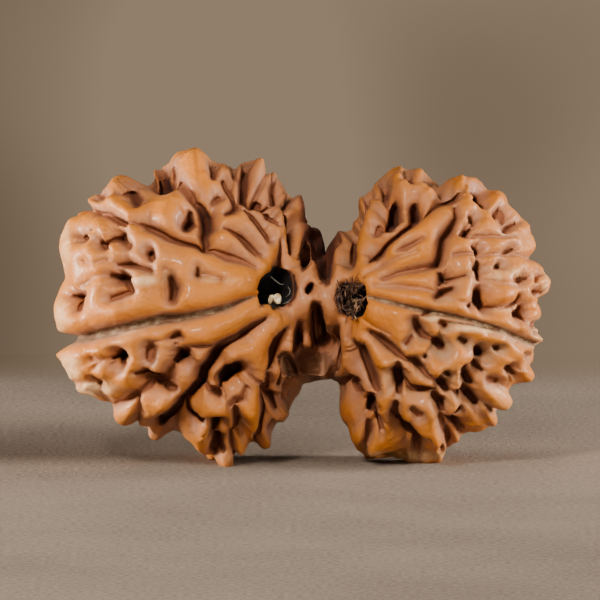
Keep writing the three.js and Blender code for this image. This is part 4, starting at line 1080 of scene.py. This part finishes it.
# Rounds the edges that the joint's cuts leave, where a corner lies close to one of them
def softenJoint(points, faces):
    close = jointPlace(points, gaps + hollows + holes + [bridge])
    share = np.clip((jointLook["softFrom"] - close) / jointLook["softOver"], 0, 1)[:, None]
    return relax(points, faces, seedShape["jointTurns"], 0.5 * share)


def spotMask(points, spots):
    column, row = sketchPlace(points)
    near = points @ toViewer
    mask = np.zeros(len(points))
    for x, y, halfWidth, halfHeight, amount in spots:
        away = ((column - x) / halfWidth) ** 2 + ((row - y) / halfHeight) ** 2
        mask = np.maximum(mask, amount * np.exp(-0.7 * away ** 2))
    return mask * np.clip(near / 1.5 + 1.5, 0, 1)


def makeSeed():
    left, right = growStones()
    print("stones planned:", len(left.grooves), "and", len(right.grooves), "grooves")
    points, faces = buildShell(left, right)
    miss, depth, rounding, seamEdge, mouthEdge = shellMasks(points, left, right)
    shift = restShift(points)
    seed = newObject("seed_shell", (points + shift) * millimetre, faces)
    joint = jointLook
    inGap = jointPlace(points, gaps + holes) < joint["cutReach"]
    inHollow = jointPlace(points, hollows) < joint["cutReach"]
    nearBridge = ((lensPlace(points, bridge) < joint["bridgeReach"])
                  & (miss > joint["bridgeOffStone"]) & ~inGap)
    column, row = sketchPlace(points)
    inJoint = (np.clip(1.4 - np.abs(column - joint["middleColumn"]) / joint["columns"], 0, 1)
               * np.clip(1.5 - points @ toViewer / 3, 0, 1))
    # painted shade between the stones: the joint's cut faces get a made-up depth and the joint above the
    # shade row is painted darker, so the depth mask paints them dark
    cutShadeDepth = np.where(inHollow & ~inGap, joint["hollowShadeDepth"], joint["cutShadeDepth"])
    depth = depth * ~nearBridge + np.where((miss > joint["offStone"]) & ~nearBridge, cutShadeDepth, 0)
    shaded = 0.4 + 1.8 * np.clip((joint["shadeRow"] - row) / joint["shadeRows"], 0, 1)
    below = np.clip((row - joint["wallRow"]) / joint["wallRows"], 0, 1)
    masks = {name: spotMask(points, spots) for name, spots in spotLists.items()}
    masks["depth"] = np.maximum(depth, inJoint * shaded)
    masks["wall"] = np.maximum(inHollow * (1.0 - inGap), inJoint * below)
    masks["rounding"] = rounding
    masks["crest"] = crestHeights(points, faces)
    masks["seam"] = np.clip(0.15 - seamEdge / 0.12, 0, 1) * ~nearBridge
    masks["mouth"] = np.clip(1 - mouthEdge / 0.15, 0, 1) * ~nearBridge
    for name in maskNames:
        layer = seed.data.attributes.new(name, "FLOAT", "POINT")
        layer.data.foreach_set("value", masks[name].astype(np.float32))
    smoothWith(seed, shellMaterial())
    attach(seed, "root")
    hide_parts(seedNode)
    return shift


# mm across the picture, mm to the camera, and the place of the sketch in the picture's middle
view = {"width": 48, "distance": 900, "sensor": 36, "column": 300, "row": 300}


def makeCamera(shift):
    data = bpy.data.cameras.new("camera")
    data.sensor_width = view["sensor"]
    data.lens = view["sensor"] * view["distance"] / view["width"]
    data.clip_start = 0.01
    data.clip_end = 20
    camera = bpy.data.objects.new("camera", data)
    place = sketchPoint(view["column"], view["row"], view["distance"]) + shift
    camera.location = place * millimetre
    camera.rotation_euler = Vector(-toViewer).to_track_quat("-Z", "Y").to_euler()
    bpy.context.scene.collection.objects.link(camera)
    bpy.context.scene.camera = camera


studio = {
    "floor": (0.163, 0.131, 0.104),
    "grain": (2200, 4, 0.7), "clouds": (60, 3),
    "grainBump": (0.7, 0.0004),
    # the wall's glowing colours: plain, and with painted shade
    "wall": (0.295, 0.215, 0.142), "wallPaintedShade": (0.128, 0.087, 0.055),
    "tableEnd": 86, "tableEdge": 12, "farWall": 1400,    # mm behind the seed
    "wallShare": 2.338, "wallMeets": -132,               # where the wall shows over the table's end
    "air": (0.98, 0.96, 0.92), "airStrength": 0.16,
    # place in mm, size in mm, watts, colour
    "lamps": [
        ((-45, -140, 92), 26, 0.355, (1.0, 0.93, 0.84)),
        ((120, -110, 50), 40, 0.14, (1.0, 0.97, 0.92)),
        ((-130, 4, 16), 36, 0.50, (1.0, 0.95, 0.88)),
        ((140, 14, 34), 40, 0.40, (1.0, 0.94, 0.86)),
        ((30, -150, 12), 30, 0.04, (1.0, 0.92, 0.82)),
    ],
}


def sideAndBack(place):
    split = place.tree.nodes.new("ShaderNodeSeparateXYZ")
    place.tree.links.new(place.socket, split.inputs[0])
    return [Value(place.tree, split.outputs[axis]) for axis in "XY"]


# Glowing wall colour, not lit by the lamps: broad soft patches, with painted shade darker on the left
def wallColour(place, side):
    lit = (side.between(-0.075, 0.0) * 0.85 + (place.noise(13, 1) - 0.5) * 2.2).clamped()
    return lit.mix(studio["wallPaintedShade"], studio["wall"])


# Rough grey stone with painted light and shade, whose far edge glows with the wall's painted colour and
# melts into the blurred wall behind it
def tableMaterial():
    made, shader, place = startMaterial("table", {
        "Roughness": 0.9, "Specular IOR Level": 0.0, "Emission Strength": 1})
    side, back = sideAndBack(place)

    def stoneColour(share):
        return [share * part for part in studio["floor"]]

    # the far end glows with the colour of the wall that it meets there, instead of being lit
    end = studio["tableEnd"] * millimetre
    far = back.between(end - 0.032, end - 0.003)
    wallSide = side * studio["wallShare"]
    seen = place.add("ShaderNodeCombineXYZ", {}, {
        "X": wallSide, "Y": studio["farWall"] * millimetre, "Z": studio["wallMeets"] * millimetre})
    grain = place.noise(*studio["grain"])
    tone = ((grain - 0.5) * 2.6 + (place.noise(*studio["clouds"]) - 0.5) * 0.8 + 0.5).clamped()
    # painted light and shade: the floor is painted darker near the viewer and lighter far off, over random
    # grain
    nearStonePaintedShade, farStonePaintedLight = (
        tone.mix(stoneColour(share), stoneColour(share * 1.9)) for share in (0.58, 1.06))
    stone = back.between(-0.11, 0.04).mix(nearStonePaintedShade, farStonePaintedLight)
    # painted light: a brighter patch on the floor at the right front
    paintedLightPatch = (side.between(0.008, 0.040) * back.between(-0.030, 0.004) * 0.6).clamped()
    # painted shadow: a dark band on the floor just behind the seed, fading out toward the right
    near = back.between(-0.006, 0.006) * back.between(0.042, 0.010)
    paintedShadowBand = (near * side.between(0.010, -0.024) * 0.66).clamped()
    stone = paintedShadowBand.mix(paintedLightPatch.mix(stone, stoneColour(2.1)), stoneColour(0.10))
    feed(shader, {
        "Base Color": far.mix(stone, (0, 0, 0)),
        "Emission Color": far.mix((0, 0, 0), wallColour(seen, wallSide)),
        "Normal": place.bump(studio["grainBump"], grain),
    })
    return made


# The wall is black and glows with its painted colour and painted shade, as painted light
def wallMaterial():
    made, shader, place = startMaterial("wall", {
        "Base Color": (0, 0, 0, 1), "Roughness": 0.9, "Emission Strength": 1})
    feed(shader, {"Emission Color": wallColour(place, sideAndBack(place)[0])})
    return made


# A long sheet that runs left to right, with its side view given as (y, z) in mm
def makeStrip(name, profile, material):
    points = [(side, y, z) for y, z in profile for side in (-1500, 1500)]
    faces = [(2 * step, 2 * step + 1, 2 * step + 3, 2 * step + 2) for step in range(len(profile) - 1)]
    strip = newObject(name, np.array(points) * millimetre, np.array(faces))
    smoothWith(strip, material)


def makeBackdrop():
    end, edge, far = studio["tableEnd"], studio["tableEdge"], studio["farWall"]
    profile = [(-1500, 0), (end, 0)]
    profile += [(end + edge * math.sin(angle), edge * (math.cos(angle) - 1))
                for angle in np.linspace(0, math.pi / 2, 13)[1:]]
    profile.append((end + edge, -60))
    makeStrip("table", profile, tableMaterial())
    makeStrip("wall", [(far, -1500), (far, 1500)], wallMaterial())


# Dried pulp in the mouths of the canals; hairs are lists of [column, row, mm nearer the viewer
# than the stone's middle], and crumbs add their half width, half height and lean
mouthPieces = {
    "crumbs": [[271, 299.4, 6.4, 2.4, 4.6, 14], [277.5, 299, 6.7, 3.8, 5.2, -6]],
    "hairs": [
        [[271, 277, 7.6], [276, 281, 7.9], [281, 285, 7.8], [284, 284, 7.7]],
        [[288, 287, 7.4], [290.5, 290, 7.7], [290, 294, 7.6], [286, 297, 7.2]],
        [[283, 304, 7.2], [288, 302, 7.3], [291, 299, 7.1]],
    ],
    "threadMiddle": [350, 299], "threadReach": [13, 16], "threads": 150,
    "threadDepth": [5.5, 8.4], "threadRadius": [0.03, 0.06], "paleShare": 0.4,
    "whiskers": 16, "whiskerRadius": 0.03, "hairRadius": 0.016, "seed": 731,
}
pulpFinish = {
    "crumb": (0.72, 0.60, 0.36), "crumbShade": (0.36, 0.24, 0.10),
    "hair": (0.30, 0.28, 0.24),
    "thread": (0.12, 0.052, 0.026), "threadShade": (0.03, 0.011, 0.006),
    "paleThread": (0.50, 0.30, 0.16),
}


# A tube with pointed ends along smoothed points
def threadMesh(points, radius, sides=6, steps=12):
    points = np.array(points)
    shares = np.linspace(0, len(points) - 1, steps)
    path = np.stack([np.interp(shares, np.arange(len(points)), column) for column in points.T], axis=1)
    for turn in range(3):
        path[1:-1] = (path[:-2] + 2 * path[1:-1] + path[2:]) / 4
    corners = []
    for step, middle in enumerate(path):
        along = path[min(step + 1, steps - 1)] - path[max(step - 1, 0)]
        along /= np.linalg.norm(along)
        side = np.cross(along, (0.3, 0.2, 0.93))
        side /= np.linalg.norm(side)
        third = np.cross(along, side)
        width = radius * (0.25 + 0.75 * math.sin(math.pi * (step + 0.5) / steps) ** 0.5)
        for turn in range(sides):
            angle = 2 * math.pi * turn / sides
            corners.append(middle + width * (math.cos(angle) * side + math.sin(angle) * third))
    faces = []
    for step in range(steps - 1):
        for turn in range(sides):
            low, after = step * sides + turn, step * sides + (turn + 1) % sides
            faces.append([low, after, after + sides, low + sides])
    return corners, faces


# Makes one piece of several and puts it on the seed's body
def gatherMesh(name, parts, material, shift):
    corners, faces = [], []
    for partCorners, partFaces in parts:
        faces += [[corner + len(corners) for corner in face] for face in partFaces]
        corners += list(partCorners)
    made = newObject(name, (np.array(corners) + shift) * millimetre, np.array(faces))
    smoothWith(made, material)
    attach(made, "root")


def pulpMaterial(name, darker, roughness):
    made, shader, place = startMaterial(name, {"Roughness": roughness, "Specular IOR Level": 0.5})
    spots = place.noise(2600, 2).between(0.4, 0.6)
    feed(shader, {"Base Color": spots.mix(pulpFinish[darker], pulpFinish[name])})
    return made


def makePulp(shift):
    pulp = mouthPieces
    draw = np.random.default_rng(pulp["seed"])

    def midway(start, end, spread):
        return [(one + other) / 2 + draw.normal(0, size) for one, other, size in zip(start, end, spread)]

    def strand(places, radius):
        return threadMesh([sketchPoint(*place) for place in places], radius)

    directions, faces = ballMesh(3)
    crumbs = []
    for column, row, near, halfWidth, halfHeight, lean in pulp["crumbs"]:
        turn = math.radians(lean)
        blunt = np.sum(directions ** 4, axis=1) ** -0.25
        waves = np.sin(5 * directions[:, 0] + column) * np.sin(4 * directions[:, 2] + row)
        sides = directions * (blunt * (1 + 0.1 * waves))[:, None] * sketch["grid"]
        offsets = (np.outer(sides[:, 0] * halfWidth, math.cos(turn) * across - math.sin(turn) * upward)
                   + np.outer(sides[:, 2] * halfHeight, math.sin(turn) * across + math.cos(turn) * upward)
                   + np.outer(sides[:, 1] * halfWidth * 1.6, toViewer))
        crumbs.append((sketchPoint(column, row, near) + offsets, [list(face) for face in faces]))
    hairs = [strand(hair, pulp["hairRadius"]) for hair in pulp["hairs"]]
    column, row = pulp["threadMiddle"]
    wide, high = pulp["threadReach"]
    lowNear, highNear = pulp["threadDepth"]
    dark, pale = [], []
    for index in range(pulp["threads"]):
        angle = draw.uniform(0, 2 * math.pi)
        reach = draw.uniform(0, 1) ** 0.4
        start = [column + wide * reach * math.cos(angle), row + high * reach * math.sin(angle),
                 lowNear + (highNear - lowNear) * reach ** 2]
        end = [along + draw.normal(0, size) for along, size in zip(start, (3.5, 5, 0.3))]
        places = start, midway(start, end, (1.5, 1.5, 0.3)), end
        thread = strand(places, draw.uniform(*pulp["threadRadius"]))
        isPale = start[0] > column + 1 and draw.random() < pulp["paleShare"]
        (pale if isPale else dark).append(thread)
    for index in range(pulp["whiskers"]):
        start = [356 + draw.normal(0, 3.5), 288 + draw.normal(0, 3), 7.8]
        end = [start[0] + draw.uniform(1, 9), start[1] - draw.uniform(1, 8), draw.uniform(8.2, 8.8)]
        dark.append(strand((start, midway(start, end, (1.2, 1.2, 0.15)), end), pulp["whiskerRadius"]))
    for name, parts, material in (
            ("pulp_crumbs", crumbs, pulpMaterial("crumb", "crumbShade", 0.55)),
            ("pulp_hairs", hairs, pulpMaterial("hair", "hair", 0.3)),
            ("pulp_threads", dark, pulpMaterial("thread", "threadShade", 0.6)),
            ("pulp_pale_threads", pale, pulpMaterial("paleThread", "thread", 0.5))):
        gatherMesh(name, parts, material, shift)


def makeStudio():
    makeBackdrop()
    world = bpy.data.worlds.new("studio air")
    world.use_nodes = True
    air = world.node_tree.nodes["Background"].inputs
    air["Color"].default_value = (*studio["air"], 1)
    air["Strength"].default_value = studio["airStrength"]
    bpy.context.scene.world = world
    for index, (place, size, power, colour) in enumerate(studio["lamps"]):
        lampData = bpy.data.lights.new(f"lamp {index}", "AREA")
        lampData.size = size * millimetre
        lampData.energy = power
        lampData.color = colour
        lamp = bpy.data.objects.new(f"lamp {index}", lampData)
        lamp.location = Vector(place) * millimetre
        aim = Vector((0, 0, 0.012)) - lamp.location
        lamp.rotation_euler = aim.to_track_quat("-Z", "Y").to_euler()
        bpy.context.scene.collection.objects.link(lamp)


shift = makeSeed()
print("seed made, rest shift", shift.round(3))
makePulp(shift)
print("pulp made")
makeCamera(shift)
makeStudio()
print("camera, lamps, table and wall made")
